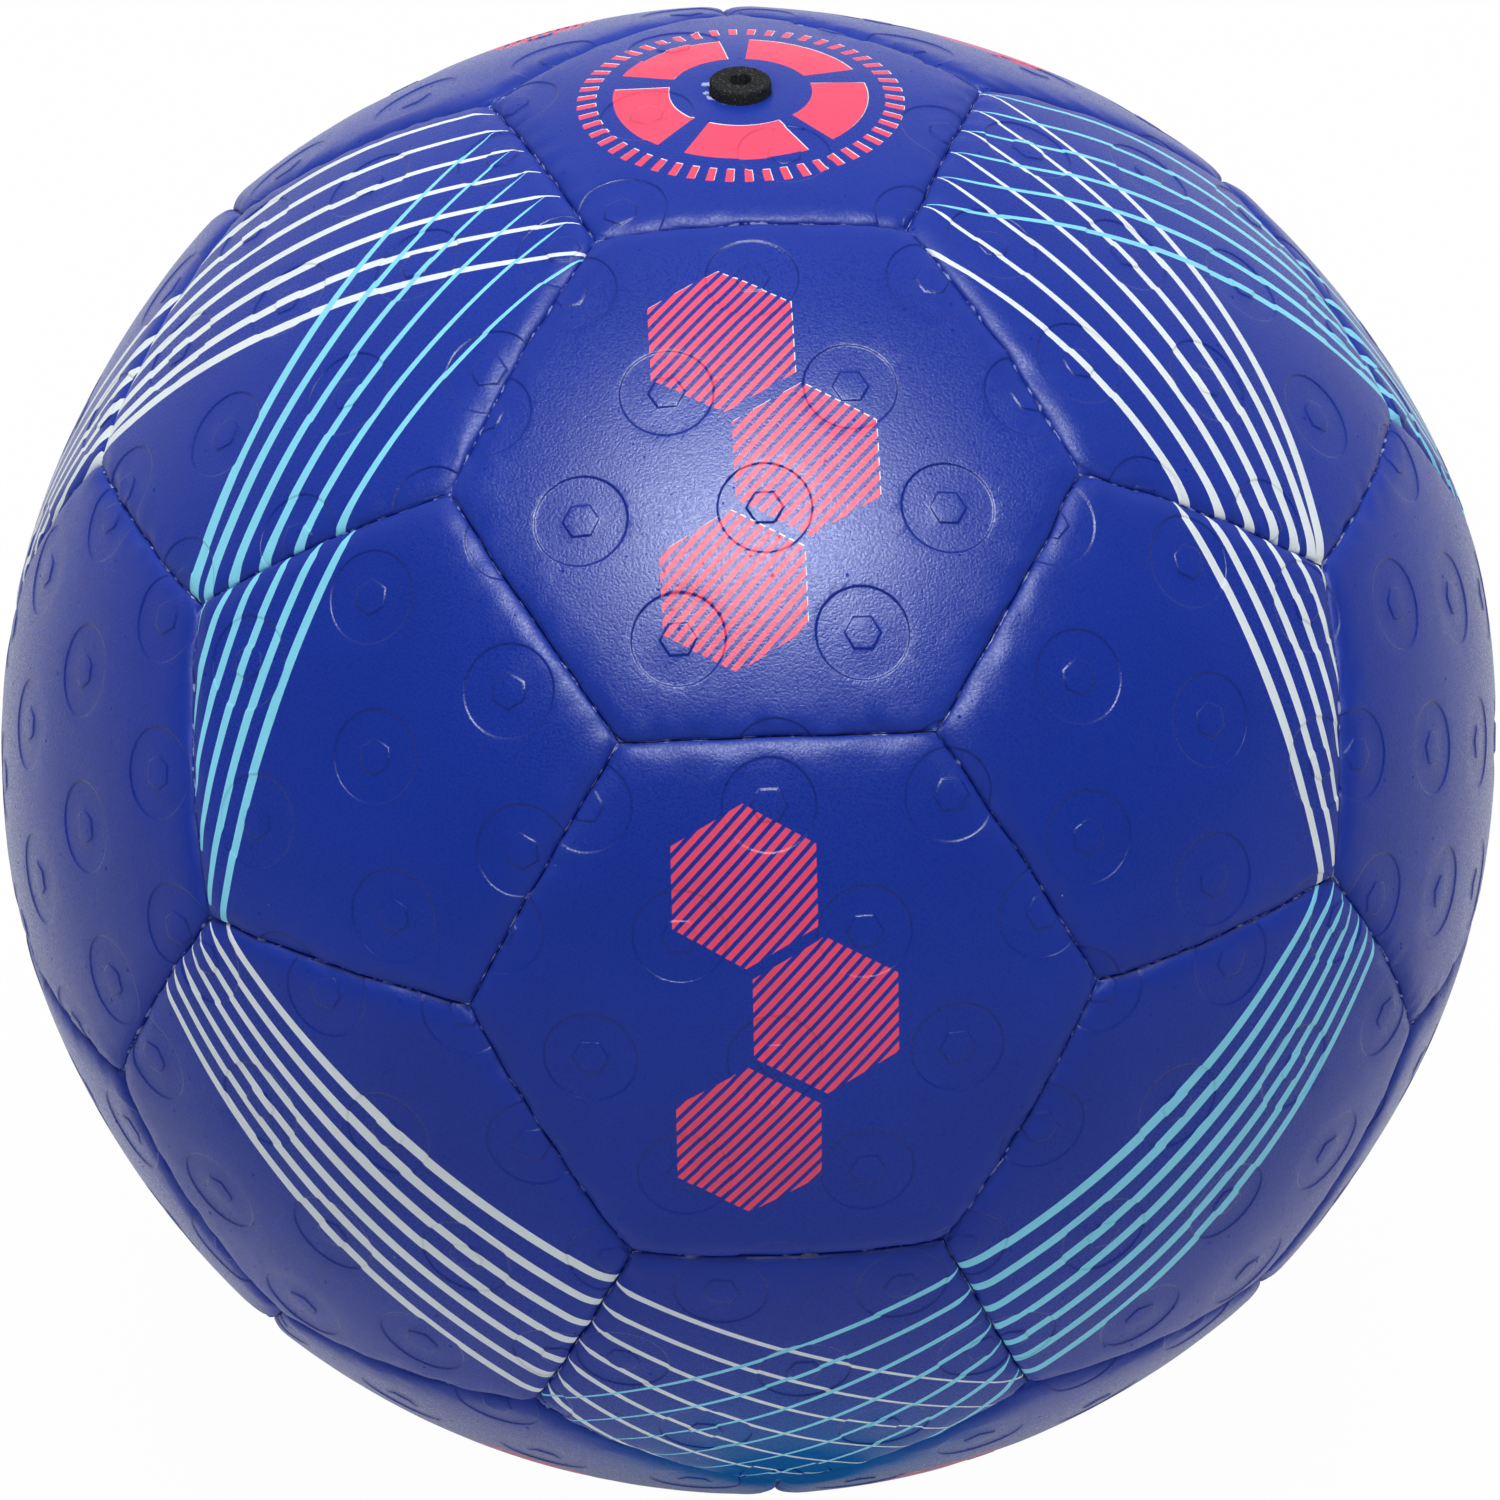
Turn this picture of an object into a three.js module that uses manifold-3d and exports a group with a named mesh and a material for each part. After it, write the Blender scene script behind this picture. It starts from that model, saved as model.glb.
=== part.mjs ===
// A sewn handball of 32 panels: 12 pentagons and 20 hexagons round a rubber bladder, with a push-in valve.
// Millimetres. The origin is the middle of the ball, +Z is the valve axis, and a hexagon faces -Y.
import * as THREE from "three";
import { mergeVertices } from "three/addons/utils/BufferGeometryUtils.js";
import Module from "manifold-3d";

// Ball
const CIRCUMFERENCE = 550; // a youth and women's ball measures 540 to 560
const CLEARANCE = 0.3; // between pieces that touch on the real ball

// Panels
const SEAM_GAP = 0.4; // between the folds of two neighbours
const CROWN_RISE = 0.5; // how far a panel's middle stands above the top of its rounded edge
const SHOULDER_REACH = 3.4; // width of the rounded edge, from the seam inwards
const SHOULDER_DROP = 1.6; // depth of the rounded edge, down to the fold
const EDGE_LAND = 0.3; // straight edge above and below the thread channel

// Sewing thread
const THREAD_WIDTH = 0.8;

// Bladder
const BLADDER_WALL = 1;

// Valve housing
const HOUSING_WALL = 2.2;
const FLANGE_DIAMETER = 24;
const FLANGE_THICKNESS = 1.5;

// Valve core
const HEAD_DIAMETER = 7;
const HEAD_RISE = 1.1; // above the panel
const HEAD_CHAMFER = 0.3;
const STEM_DIAMETER = 5;
const STEM_LENGTH = 13;
const NEEDLE_BORE = 1.9;
const NEEDLE_LEAD_IN = 0.3; // chamfer that guides the needle into its bore
const NEEDLE_END_WALL = 3; // solid rubber below the needle bore, which a needle's slit goes through

// Steps of the faceted surfaces
const EDGE_STEPS = 3; // along one panel edge
const HALF_WAY = 0.5; // where the ring between a panel's edge and its middle lies
const ROUND_STEPS = 24; // round the valve pieces
const BLADDER_STEPS = 32; // round the bladder
const ARC_STEPS = 16; // from the bladder's foot to its mouth
const FLANGE_STEPS = 4; // across the domed flange

const ballRadius = CIRCUMFERENCE / (2 * Math.PI);
const shoulderRadius = ballRadius - CROWN_RISE;
const foldRadius = shoulderRadius - SHOULDER_DROP;
const channelDepth = Math.SQRT2 * (THREAD_WIDTH / 2 + CLEARANCE); // from the seam's middle
const channelHalfHeight = channelDepth - SEAM_GAP / 2;
const threadRadius = foldRadius - EDGE_LAND - channelHalfHeight;
const innerRadius = threadRadius - channelHalfHeight - EDGE_LAND;

const wasm = await Module();
wasm.setup();

// The corner points of the ball's net: an icosahedron with a corner on +Z, whose edges are cut in three.

const ringHeight = 1 / Math.sqrt(5);
const ringRadius = 2 * ringHeight;
const fifth = (2 * Math.PI) / 5;
const front = -Math.PI / 2;

// Corner k of the upper ring or of the lower one, which is turned by half a step. A hexagon faces the front.
function ringCorner(k, upper) {
  const angle = front + (k + (upper ? 0.5 : 0)) * fifth;
  const height = upper ? ringHeight : -ringHeight;
  return new THREE.Vector3(ringRadius * Math.cos(angle), ringRadius * Math.sin(angle), height);
}

const top = new THREE.Vector3(0, 0, 1);
const bottom = top.clone().negate();
const five = [0, 1, 2, 3, 4];
const upperRing = five.map((k) => ringCorner(k, true));
const lowerRing = five.map((k) => ringCorner(k, false));
const icosahedron = [top, ...upperRing, ...lowerRing, bottom];

// The net's corner on the edge from a to b, one third of the way along. Panels that meet there share it.
const netCorners = new Map(icosahedron.map((a) => [a, new Map()]));
function netCorner(a, b) {
  const made = netCorners.get(a);
  if (!made.has(b)) made.set(b, a.clone().lerp(b, 1 / 3).normalize());
  return made.get(b);
}

// Corners in order round a middle, anticlockwise from outside.
function inOrder(corners, middle) {
  const across = corners[0].clone().projectOnPlane(middle).normalize();
  const along = middle.clone().cross(across);
  const angle = (p) => Math.atan2(p.dot(along), p.dot(across));
  return [...corners].sort((p, q) => angle(p) - angle(q));
}

function pentagon(corner) {
  const near = icosahedron.filter((p) => p !== corner && p.dot(corner) > 0);
  return { middle: corner, corners: inOrder(near.map((p) => netCorner(corner, p)), corner) };
}

function hexagon(a, b, c) {
  const middle = a.clone().add(b).add(c).normalize();
  const pairs = [[a, b], [b, a], [b, c], [c, b], [c, a], [a, c]];
  return { middle, corners: inOrder(pairs.map(([p, q]) => netCorner(p, q)), middle) };
}

// Panels from the valve down, each row counted from the front towards +X.
function panelNet() {
  const net = new Map();
  net.set("valve_pentagon", pentagon(top));
  const next = (k) => (k + 1) % 5;
  const before = (k) => (k + 4) % 5;
  const rows = [
    ["crown_hexagon", (k) => hexagon(top, upperRing[before(k)], upperRing[k])],
    ["upper_pentagon", (k) => pentagon(upperRing[k])],
    ["upper_hexagon", (k) => hexagon(upperRing[before(k)], upperRing[k], lowerRing[k])],
    ["lower_hexagon", (k) => hexagon(upperRing[k], lowerRing[k], lowerRing[next(k)])],
    ["lower_pentagon", (k) => pentagon(lowerRing[k])],
    ["base_hexagon", (k) => hexagon(bottom, lowerRing[k], lowerRing[next(k)])],
  ];
  for (const [name, panel] of rows) {
    for (const k of five) net.set(`${name}_${k + 1}`, panel(k));
  }
  net.set("base_pentagon", pentagon(bottom));
  return net;
}

// Meshes

function meshOf(name, geometry, material) {
  const mesh = new THREE.Mesh(geometry, material);
  mesh.name = name;
  return mesh;
}

function geometryOf(points, triangles) {
  const geometry = new THREE.BufferGeometry().setFromPoints(points);
  geometry.setIndex(triangles.flat());
  return geometry;
}

function solidOf(geometry) {
  const bare = geometry.clone();
  bare.deleteAttribute("normal");
  bare.deleteAttribute("uv");
  const merged = mergeVertices(bare);
  const vertProperties = merged.attributes.position.array;
  const triVerts = new Uint32Array(merged.index.array);
  return new wasm.Manifold(new wasm.Mesh({ numProp: 3, vertProperties, triVerts }));
}

function geometryFrom(solid) {
  const { vertProperties, triVerts } = solid.getMesh();
  const geometry = new THREE.BufferGeometry();
  geometry.setAttribute("position", new THREE.BufferAttribute(vertProperties, 3));
  geometry.setIndex(new THREE.BufferAttribute(triVerts, 1));
  return geometry;
}

// A piece turned about the valve axis. The profile holds [radius, height] points, anticlockwise.
function turned(profile, steps) {
  const geometry = new THREE.LatheGeometry(profile.map(([x, y]) => new THREE.Vector2(x, y)), steps);
  return geometry.rotateX(Math.PI / 2);
}

// Panels

// The planes through the ball's middle along a panel's edges, facing into the panel.
function edgePlanes(corners) {
  return corners.map((corner, i) => corner.clone().cross(corners[(i + 1) % corners.length]).normalize());
}

// The panel's corner between two edge planes, at an inset from both and at a radius.
function insetCorner(before, after, inset, radius) {
  const share = inset / (1 + before.dot(after));
  const sum = before.clone().add(after).multiplyScalar(share);
  const outwards = before.clone().cross(after).normalize();
  return sum.clone().addScaledVector(outwards, Math.sqrt(radius ** 2 - sum.lengthSq()));
}

// A point on the circle at an inset from an edge plane, below the point given.
function onEdge(point, plane, inset, radius) {
  const along = point.clone().projectOnPlane(plane).normalize();
  return along.multiplyScalar(Math.sqrt(radius ** 2 - inset ** 2)).addScaledVector(plane, inset);
}

// Points round a panel at an inset from its seams and at a radius.
function panelRing(panel, inset, radius) {
  const planes = edgePlanes(panel.corners);
  const count = planes.length;
  const before = (i) => planes[(i + count - 1) % count];
  const corners = planes.map((plane, i) => insetCorner(before(i), plane, inset, radius));
  return corners.flatMap((corner, i) => {
    const points = [corner];
    for (let step = 1; step < EDGE_STEPS; step++) {
      const straight = corner.clone().lerp(corners[(i + 1) % count], step / EDGE_STEPS);
      points.push(onEdge(straight, planes[i], inset, radius));
    }
    return points;
  });
}

// A ring drawn in towards the panel's middle.
function innerRing(ring, middle, radius) {
  return ring.map((point) => point.clone().normalize().lerp(middle, HALF_WAY).setLength(radius));
}

// The middle of the crown, the rings down its edge and along its inner face, and that face's middle.
function panelGeometry(panel) {
  const halfGap = SEAM_GAP / 2;
  const slope = Math.SQRT1_2;
  const midInset = SHOULDER_REACH - (SHOULDER_REACH - halfGap) * slope;
  const midRadius = foldRadius + SHOULDER_DROP * slope;
  const shoulder = panelRing(panel, SHOULDER_REACH, shoulderRadius);
  const foot = panelRing(panel, halfGap, innerRadius);
  const rings = [
    innerRing(shoulder, panel.middle, ballRadius - CROWN_RISE * (1 - HALF_WAY) ** 2),
    shoulder,
    panelRing(panel, midInset, midRadius),
    panelRing(panel, halfGap, foldRadius),
    panelRing(panel, halfGap, threadRadius + channelHalfHeight),
    panelRing(panel, channelDepth, threadRadius),
    panelRing(panel, halfGap, threadRadius - channelHalfHeight),
    foot,
    innerRing(foot, panel.middle, innerRadius),
  ];
  const count = shoulder.length;
  const points = [panel.middle.clone().setLength(ballRadius), ...rings.flat()];
  const last = points.push(panel.middle.clone().setLength(innerRadius)) - 1;
  const triangles = [];
  for (let i = 0; i < count; i++) {
    const j = (i + 1) % count;
    triangles.push([0, 1 + i, 1 + j]);
    for (let ring = 0; ring < rings.length - 1; ring++) {
      const upper = 1 + ring * count;
      const lower = upper + count;
      triangles.push([upper + i, lower + i, lower + j], [upper + i, lower + j, upper + j]);
    }
    triangles.push([last, last - count + j, last - count + i]);
  }
  return geometryOf(points, triangles);
}

// Heights and radii of the valve, from the panel's inner face
const headRadius = HEAD_DIAMETER / 2;
const stemRadius = STEM_DIAMETER / 2;
const boreRadius = stemRadius + CLEARANCE;
const neckRadius = boreRadius + HOUSING_WALL;
const neckTop = Math.sqrt(innerRadius ** 2 - neckRadius ** 2) - 2 * CLEARANCE;
const headSeat = neckTop + CLEARANCE;
const headTop = ballRadius + HEAD_RISE;

function valvePanelGeometry(panel) {
  const holeRadius = headRadius + CLEARANCE;
  const drill = new THREE.CylinderGeometry(holeRadius, holeRadius, ballRadius, ROUND_STEPS);
  drill.rotateX(Math.PI / 2).translate(0, 0, ballRadius);
  return geometryFrom(solidOf(panelGeometry(panel)).subtract(solidOf(drill)));
}

// Sewing thread

// One thread along every seam, with a diamond section, as a net that closes at each corner.
function threadGeometry(net) {
  const half = THREAD_WIDTH / 2;
  const points = [];
  const triangles = [];
  const add = (point) => points.push(point) - 1;
  // The thread's outer and inner edge in a direction from the ball's middle.
  const spine = (direction) => ({
    outer: add(direction.clone().setLength(threadRadius + half)),
    inner: add(direction.clone().setLength(threadRadius - half)),
  });

  // Where three threads meet they share their edges, and a point in each of the three panels' corners.
  const hubs = new Map();
  const seams = [];
  for (const { corners } of net.values()) {
    const planes = edgePlanes(corners);
    corners.forEach((corner, i) => {
      const last = (i + corners.length - 1) % corners.length;
      const next = corners[(i + 1) % corners.length];
      const hub = hubs.get(corner) ?? { spine: spine(corner), after: new Map(), before: new Map() };
      hubs.set(corner, hub);
      const side = add(insetCorner(planes[last], planes[i], half, threadRadius));
      hub.after.set(next, side);
      hub.before.set(corners[last], side);
      seams.push({ from: corner, to: next, plane: planes[i] });
    });
  }

  // Each seam belongs to two panels, and is sewn once, with the first panel on its left.
  const sewn = new Map([...hubs.keys()].map((corner) => [corner, new Set()]));
  for (const { from, to, plane } of seams) {
    if (sewn.get(to).has(from)) continue;
    sewn.get(from).add(to);
    const start = hubs.get(from);
    const end = hubs.get(to);
    const stations = [{ ...start.spine, left: start.after.get(to), right: start.before.get(to) }];
    for (let step = 1; step < EDGE_STEPS; step++) {
      const direction = from.clone().lerp(to, step / EDGE_STEPS).normalize();
      const left = add(onEdge(direction, plane, half, threadRadius));
      const right = add(onEdge(direction, plane, -half, threadRadius));
      stations.push({ ...spine(direction), left, right });
    }
    stations.push({ ...end.spine, left: end.before.get(from), right: end.after.get(from) });
    const sections = stations.map(({ outer, left, inner, right }) => [outer, left, inner, right]);
    for (let step = 0; step < EDGE_STEPS; step++) {
      const here = sections[step];
      const there = sections[step + 1];
      here.forEach((corner, side) => {
        const next = (side + 1) % here.length;
        triangles.push([corner, there[side], there[next]], [corner, there[next], here[next]]);
      });
    }
  }
  return geometryOf(points, triangles);
}

// Bladder

// How far a flat facet that spans an angle of a sphere dips below it.
function facetDip(radius, angle) {
  return radius * (1 - Math.cos(angle / 2));
}

// The bladder lies under the panels' inner facets, the widest of which reach in from a hexagon's corner.
function bladderRadiusIn(net) {
  const { middle, corners } = net.get("crown_hexagon_1");
  return innerRadius - facetDip(innerRadius, middle.angleTo(corners[0]) * HALF_WAY) - CLEARANCE;
}

function arc(radius, from, to, steps) {
  const point = (i) => {
    const angle = from + ((to - from) * i) / steps;
    return [radius * Math.cos(angle), radius * Math.sin(angle)];
  };
  return Array.from({ length: steps + 1 }, (_, i) => point(i));
}

function bladderGeometry(outerRadius) {
  const bladderInside = outerRadius - BLADDER_WALL;
  const mouth = neckRadius + CLEARANCE;
  const outside = arc(outerRadius, -Math.PI / 2, Math.acos(mouth / outerRadius), ARC_STEPS);
  const inside = arc(bladderInside, Math.acos(mouth / bladderInside), -Math.PI / 2, ARC_STEPS);
  outside[0][0] = 0;
  inside[ARC_STEPS][0] = 0;
  return turned([...outside, ...inside], BLADDER_STEPS);
}

// Valve

// A sleeve that grips the core, with a domed flange bonded under the bladder.
function housingGeometry(bladderInside) {
  const flangeRadius = FLANGE_DIAMETER / 2;
  const domeRadius = bladderInside - facetDip(bladderInside, Math.PI / ARC_STEPS) - CLEARANCE;
  const rimAngle = Math.acos(flangeRadius / domeRadius);
  const dome = arc(domeRadius, rimAngle, Math.acos(neckRadius / domeRadius), FLANGE_STEPS);
  const rimFoot = dome[0][1] - FLANGE_THICKNESS;
  const sleeveFoot = headSeat - STEM_LENGTH - CLEARANCE;
  const profile = [
    [boreRadius, sleeveFoot],
    [neckRadius, sleeveFoot],
    [neckRadius, rimFoot],
    [flangeRadius, rimFoot],
    ...dome,
    [neckRadius, neckTop],
    [boreRadius, neckTop],
    [boreRadius, sleeveFoot],
  ];
  return turned(profile, ROUND_STEPS);
}

// The plug: a head that stands in the valve panel, a stem, and a blind bore for the needle.
function coreGeometry() {
  const boreFoot = headSeat - STEM_LENGTH + NEEDLE_END_WALL;
  const needleRadius = NEEDLE_BORE / 2;
  const profile = [
    [0, headSeat - STEM_LENGTH],
    [stemRadius, headSeat - STEM_LENGTH],
    [stemRadius, headSeat],
    [headRadius, headSeat],
    [headRadius, headTop - HEAD_CHAMFER],
    [headRadius - HEAD_CHAMFER, headTop],
    [needleRadius + NEEDLE_LEAD_IN, headTop],
    [needleRadius, headTop - NEEDLE_LEAD_IN],
    [needleRadius, boreFoot],
    [0, boreFoot],
  ];
  return turned(profile, ROUND_STEPS);
}

// Materials
const polyurethane = new THREE.MeshStandardMaterial({ color: 0x2a4096, roughness: 0.5, metalness: 0 });
const waxedThread = new THREE.MeshStandardMaterial({ color: 0xd8d8d2, roughness: 0.8, metalness: 0 });
const latex = new THREE.MeshStandardMaterial({ color: 0xc9b98f, roughness: 0.6, metalness: 0 });
const blackRubber = new THREE.MeshStandardMaterial({ color: 0x1a1a1c, roughness: 0.7, metalness: 0 });

// Assembly
const net = panelNet();
const bladderRadius = bladderRadiusIn(net);
const ball = new THREE.Group();
for (const [name, panel] of net) {
  const geometry = name === "valve_pentagon" ? valvePanelGeometry(panel) : panelGeometry(panel);
  ball.add(meshOf(name, geometry, polyurethane));
}
ball.add(meshOf("seam_thread", threadGeometry(net), waxedThread));
ball.add(meshOf("bladder", bladderGeometry(bladderRadius), latex));
ball.add(meshOf("valve_housing", housingGeometry(bladderRadius - BLADDER_WALL), blackRubber));
ball.add(meshOf("valve_core", coreGeometry(), blackRubber));

export default ball;
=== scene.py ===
"""A hand-sewn handball: printed and embossed leather panels over a latex bladder, with a valve plug.

Each panel is drawn flat, as it is printed and pressed before sewing, then laid on the ball.
Drawings are in millimetres and meshes in metres.
"""

import math
from collections import namedtuple
from types import SimpleNamespace

import bpy
import numpy as np
from mathutils import Matrix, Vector
from mathutils.geometry import delaunay_2d_cdt


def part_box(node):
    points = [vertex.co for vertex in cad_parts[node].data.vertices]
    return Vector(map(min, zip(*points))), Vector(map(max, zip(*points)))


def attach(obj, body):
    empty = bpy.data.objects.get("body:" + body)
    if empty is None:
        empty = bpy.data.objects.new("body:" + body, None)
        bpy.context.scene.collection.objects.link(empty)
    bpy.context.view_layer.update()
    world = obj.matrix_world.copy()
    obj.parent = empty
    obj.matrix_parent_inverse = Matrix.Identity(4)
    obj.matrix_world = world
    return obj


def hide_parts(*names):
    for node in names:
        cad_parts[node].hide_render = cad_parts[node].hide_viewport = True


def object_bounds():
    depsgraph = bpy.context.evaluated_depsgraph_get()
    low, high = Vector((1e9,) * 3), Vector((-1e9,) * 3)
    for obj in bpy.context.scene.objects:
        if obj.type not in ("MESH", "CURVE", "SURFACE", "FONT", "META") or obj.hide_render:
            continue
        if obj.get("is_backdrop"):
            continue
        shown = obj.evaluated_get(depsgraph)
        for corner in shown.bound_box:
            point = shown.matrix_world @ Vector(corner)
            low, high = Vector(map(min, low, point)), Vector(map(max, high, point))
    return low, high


bl_info = {
    "name": "Sewn Handball",
    "version": (1, 0, 0),
    "blender": (4, 5, 0),
    "location": "3D View > Sidebar > Handball",
    "description": "A hand-sewn handball with embossed panels, stitched seams and a valve plug",
    "category": "Add Mesh",
}

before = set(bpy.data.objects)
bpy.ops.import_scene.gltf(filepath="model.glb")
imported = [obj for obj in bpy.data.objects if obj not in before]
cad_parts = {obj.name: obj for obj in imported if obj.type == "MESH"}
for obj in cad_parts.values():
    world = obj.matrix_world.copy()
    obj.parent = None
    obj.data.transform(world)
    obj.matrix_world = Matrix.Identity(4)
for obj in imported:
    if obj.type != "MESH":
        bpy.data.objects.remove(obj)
CAD_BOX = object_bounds()

MM = 0.001
BALL_RADIUS = -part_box("base_pentagon")[0].z / MM
BLADDER_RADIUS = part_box("bladder")[1].x / MM
HOUSING_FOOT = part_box("valve_housing")[0].z / MM
HOUSING_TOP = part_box("valve_housing")[1].z / MM
FLANGE_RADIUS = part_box("valve_housing")[1].x / MM
PLUG_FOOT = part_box("valve_core")[0].z / MM
PLUG_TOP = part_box("valve_core")[1].z / MM
PLUG_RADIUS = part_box("valve_core")[1].x / MM
SEED = 7


# Properties


def linear(hex_colour):
    """Turn an sRGB hex colour into linear red, green and blue."""
    channels = [int(hex_colour[i:i + 2], 16) / 255 for i in (1, 3, 5)]
    return tuple(c / 12.92 if c <= 0.04045 else ((c + 0.055) / 1.055) ** 2.4 for c in channels)


def length(name, description, millimetres):
    """A size that a user can change, shown in scene units."""
    return bpy.props.FloatProperty(
        name=name, description=description, default=millimetres * MM,
        min=0.0, precision=5, subtype="DISTANCE", unit="LENGTH")


def paint(name, description, hex_colour):
    """A colour that a user can change."""
    return bpy.props.FloatVectorProperty(
        name=name, description=description, default=linear(hex_colour),
        min=0.0, max=1.0, size=3, subtype="COLOR")


class HandballPanelSizes(bpy.types.PropertyGroup):
    """Sizes of the sewn panels."""

    seam_gap: length("Seam Gap", "Opening between two panels at their folds", 0.16)
    seam_wander: length("Seam Wander", "How far a seam wanders from a straight line", 0.09)
    shoulder_reach: length("Shoulder Reach", "Width of a panel's rounded edge", 3.2)
    shoulder_drop: length("Shoulder Drop", "Depth of the rounded edge, down to the fold", 1.0)
    corner_round: length("Corner Round", "How softly two rounded edges meet in a corner", 0.5)
    flatness: length("Flatness", "How far a panel's middle lies below a true ball, on average", 0.3)
    thickness: length("Thickness", "From the ball's surface down to the cloth lining", 4.3)
    pucker: length("Pucker", "Height of the creases that the stitches draw in", 0.13)
    unevenness: length("Unevenness", "How far the face wanders from a smooth dome", 0.06)
    valve_hole: length("Valve Hole", "Diameter of the hole in the valve panel", 7.2)


class HandballEmbossSizes(bpy.types.PropertyGroup):
    """Sizes of the roundels pressed into the panels."""

    diameter: length("Roundel", "Outer diameter of a pressed roundel", 11.0)
    pitch: length("Pitch", "Distance between roundels in a row", 20.7)
    row: length("Row", "Distance between two rows, which are staggered", 14.7)
    depth: length("Depth", "How deep the roundel is pressed", 0.17)
    step: length("Step", "Width of the sloping edge", 0.38)
    boss: length("Boss", "Width across corners of the hexagon left standing in a roundel", 4.6)


class HandballPrintSizes(bpy.types.PropertyGroup):
    """Sizes of the hatched combs and of the print round the valve."""

    comb_cell: length("Comb Cell", "Radius of the cells that a hatched comb is laid out in", 10.2)
    comb_gap: length("Comb Gap", "Bare leather between two hexagons of a comb", 1.4)
    hatch_pitch: length("Hatch Pitch", "Distance between two bars of the hatching", 1.19)
    hatch_bar: length("Hatch Bar", "Width of a bar", 0.7)
    arc_inner: length("Arc Inner", "Inner radius of the arcs round the valve", 8.2)
    arc_outer: length("Arc Outer", "Outer radius of the arcs round the valve", 14.6)
    tick_inner: length("Tick Inner", "Inner radius of the ring of ticks", 16.6)
    tick_outer: length("Tick Outer", "Outer radius of the ring of ticks", 18.8)
    tick_width: length("Tick Width", "Width of one tick", 0.9)


class HandballThreadSizes(bpy.types.PropertyGroup):
    """Sizes of the sewing thread."""

    thread: length("Thread", "Diameter of the waxed thread", 0.4)
    depth: length("Depth", "From the ball's surface down to the running thread", 3.2)
    pitch: length("Stitch Pitch", "Distance between two stitches", 2.6)
    stitch: length("Stitch", "Length of one stitch", 1.3)
    reach: length("Reach", "How far a stitch reaches to each side of the seam", 0.06)
    lowest: length("Lowest", "Deepest that a stitch lies below the ball's surface", 3.2)
    highest: length("Highest", "Least that a stitch lies below the ball's surface", 1.9)


class HandballValveSizes(bpy.types.PropertyGroup):
    """Sizes of the valve pieces and the bladder."""

    head_edge: length("Head Edge", "Rounding of the plug's head", 0.35)
    stem: length("Stem", "Diameter of the plug's stem", 5.0)
    stem_length: length("Stem Length", "From the head's underside to the tip", 13.0)
    needle_bore: length("Needle Bore", "Diameter of the hole for the needle", 1.9)
    needle_mouth: length("Needle Mouth", "Diameter of that hole at the plug's top", 2.6)
    lead_in: length("Lead-in", "Depth in which the mouth narrows to the bore", 4.0)
    needle_wall: length("Needle Wall", "Rubber left below the needle bore", 3.0)
    clearance: length("Clearance", "Gap between pieces that touch", 0.3)
    housing_wall: length("Housing Wall", "Wall of the sleeve round the plug", 2.2)
    flange: length("Flange", "Thickness of the flange under the bladder", 1.5)
    bladder_wall: length("Bladder Wall", "Thickness of the bladder", 1.0)


class HandballColours(bpy.types.PropertyGroup):
    """Colours of leather, inks, rubber and thread."""

    leather: paint("Leather", "Blue of the leather's coating", "#15329b")
    white_ink: paint("White Ink", "White stripes", "#e2ecf0")
    aqua_ink: paint("Aqua Ink", "Aqua stripes", "#86dbf8")
    coral_ink: paint("Coral Ink", "Coral combs and arcs", "#ec4d6d")
    lining: paint("Lining", "Cloth on a panel's back", "#d9d6cc")
    thread: paint("Thread", "Waxed sewing thread", "#cfcfc6")
    rubber: paint("Rubber", "Valve rubber", "#0c0c0d")
    latex: paint("Latex", "Bladder", "#c9b98f")


GROUPS = {
    "handball_panels": HandballPanelSizes,
    "handball_emboss": HandballEmbossSizes,
    "handball_prints": HandballPrintSizes,
    "handball_thread": HandballThreadSizes,
    "handball_valve": HandballValveSizes,
    "handball_colours": HandballColours,
}


def millimetres(group):
    """The sizes of a property group as plain numbers in millimetres."""
    return SimpleNamespace(**{key: getattr(group, key) / MM for key in type(group).__annotations__})


# The net of the ball

# A panel faces straight up or down when its middle lies farther along Z than this, on a ball of radius one
POLE = 0.99


def unit(vectors):
    """Scale one vector, or each row of an array, to length one."""
    return vectors / np.linalg.norm(vectors, axis=-1, keepdims=True)


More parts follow.
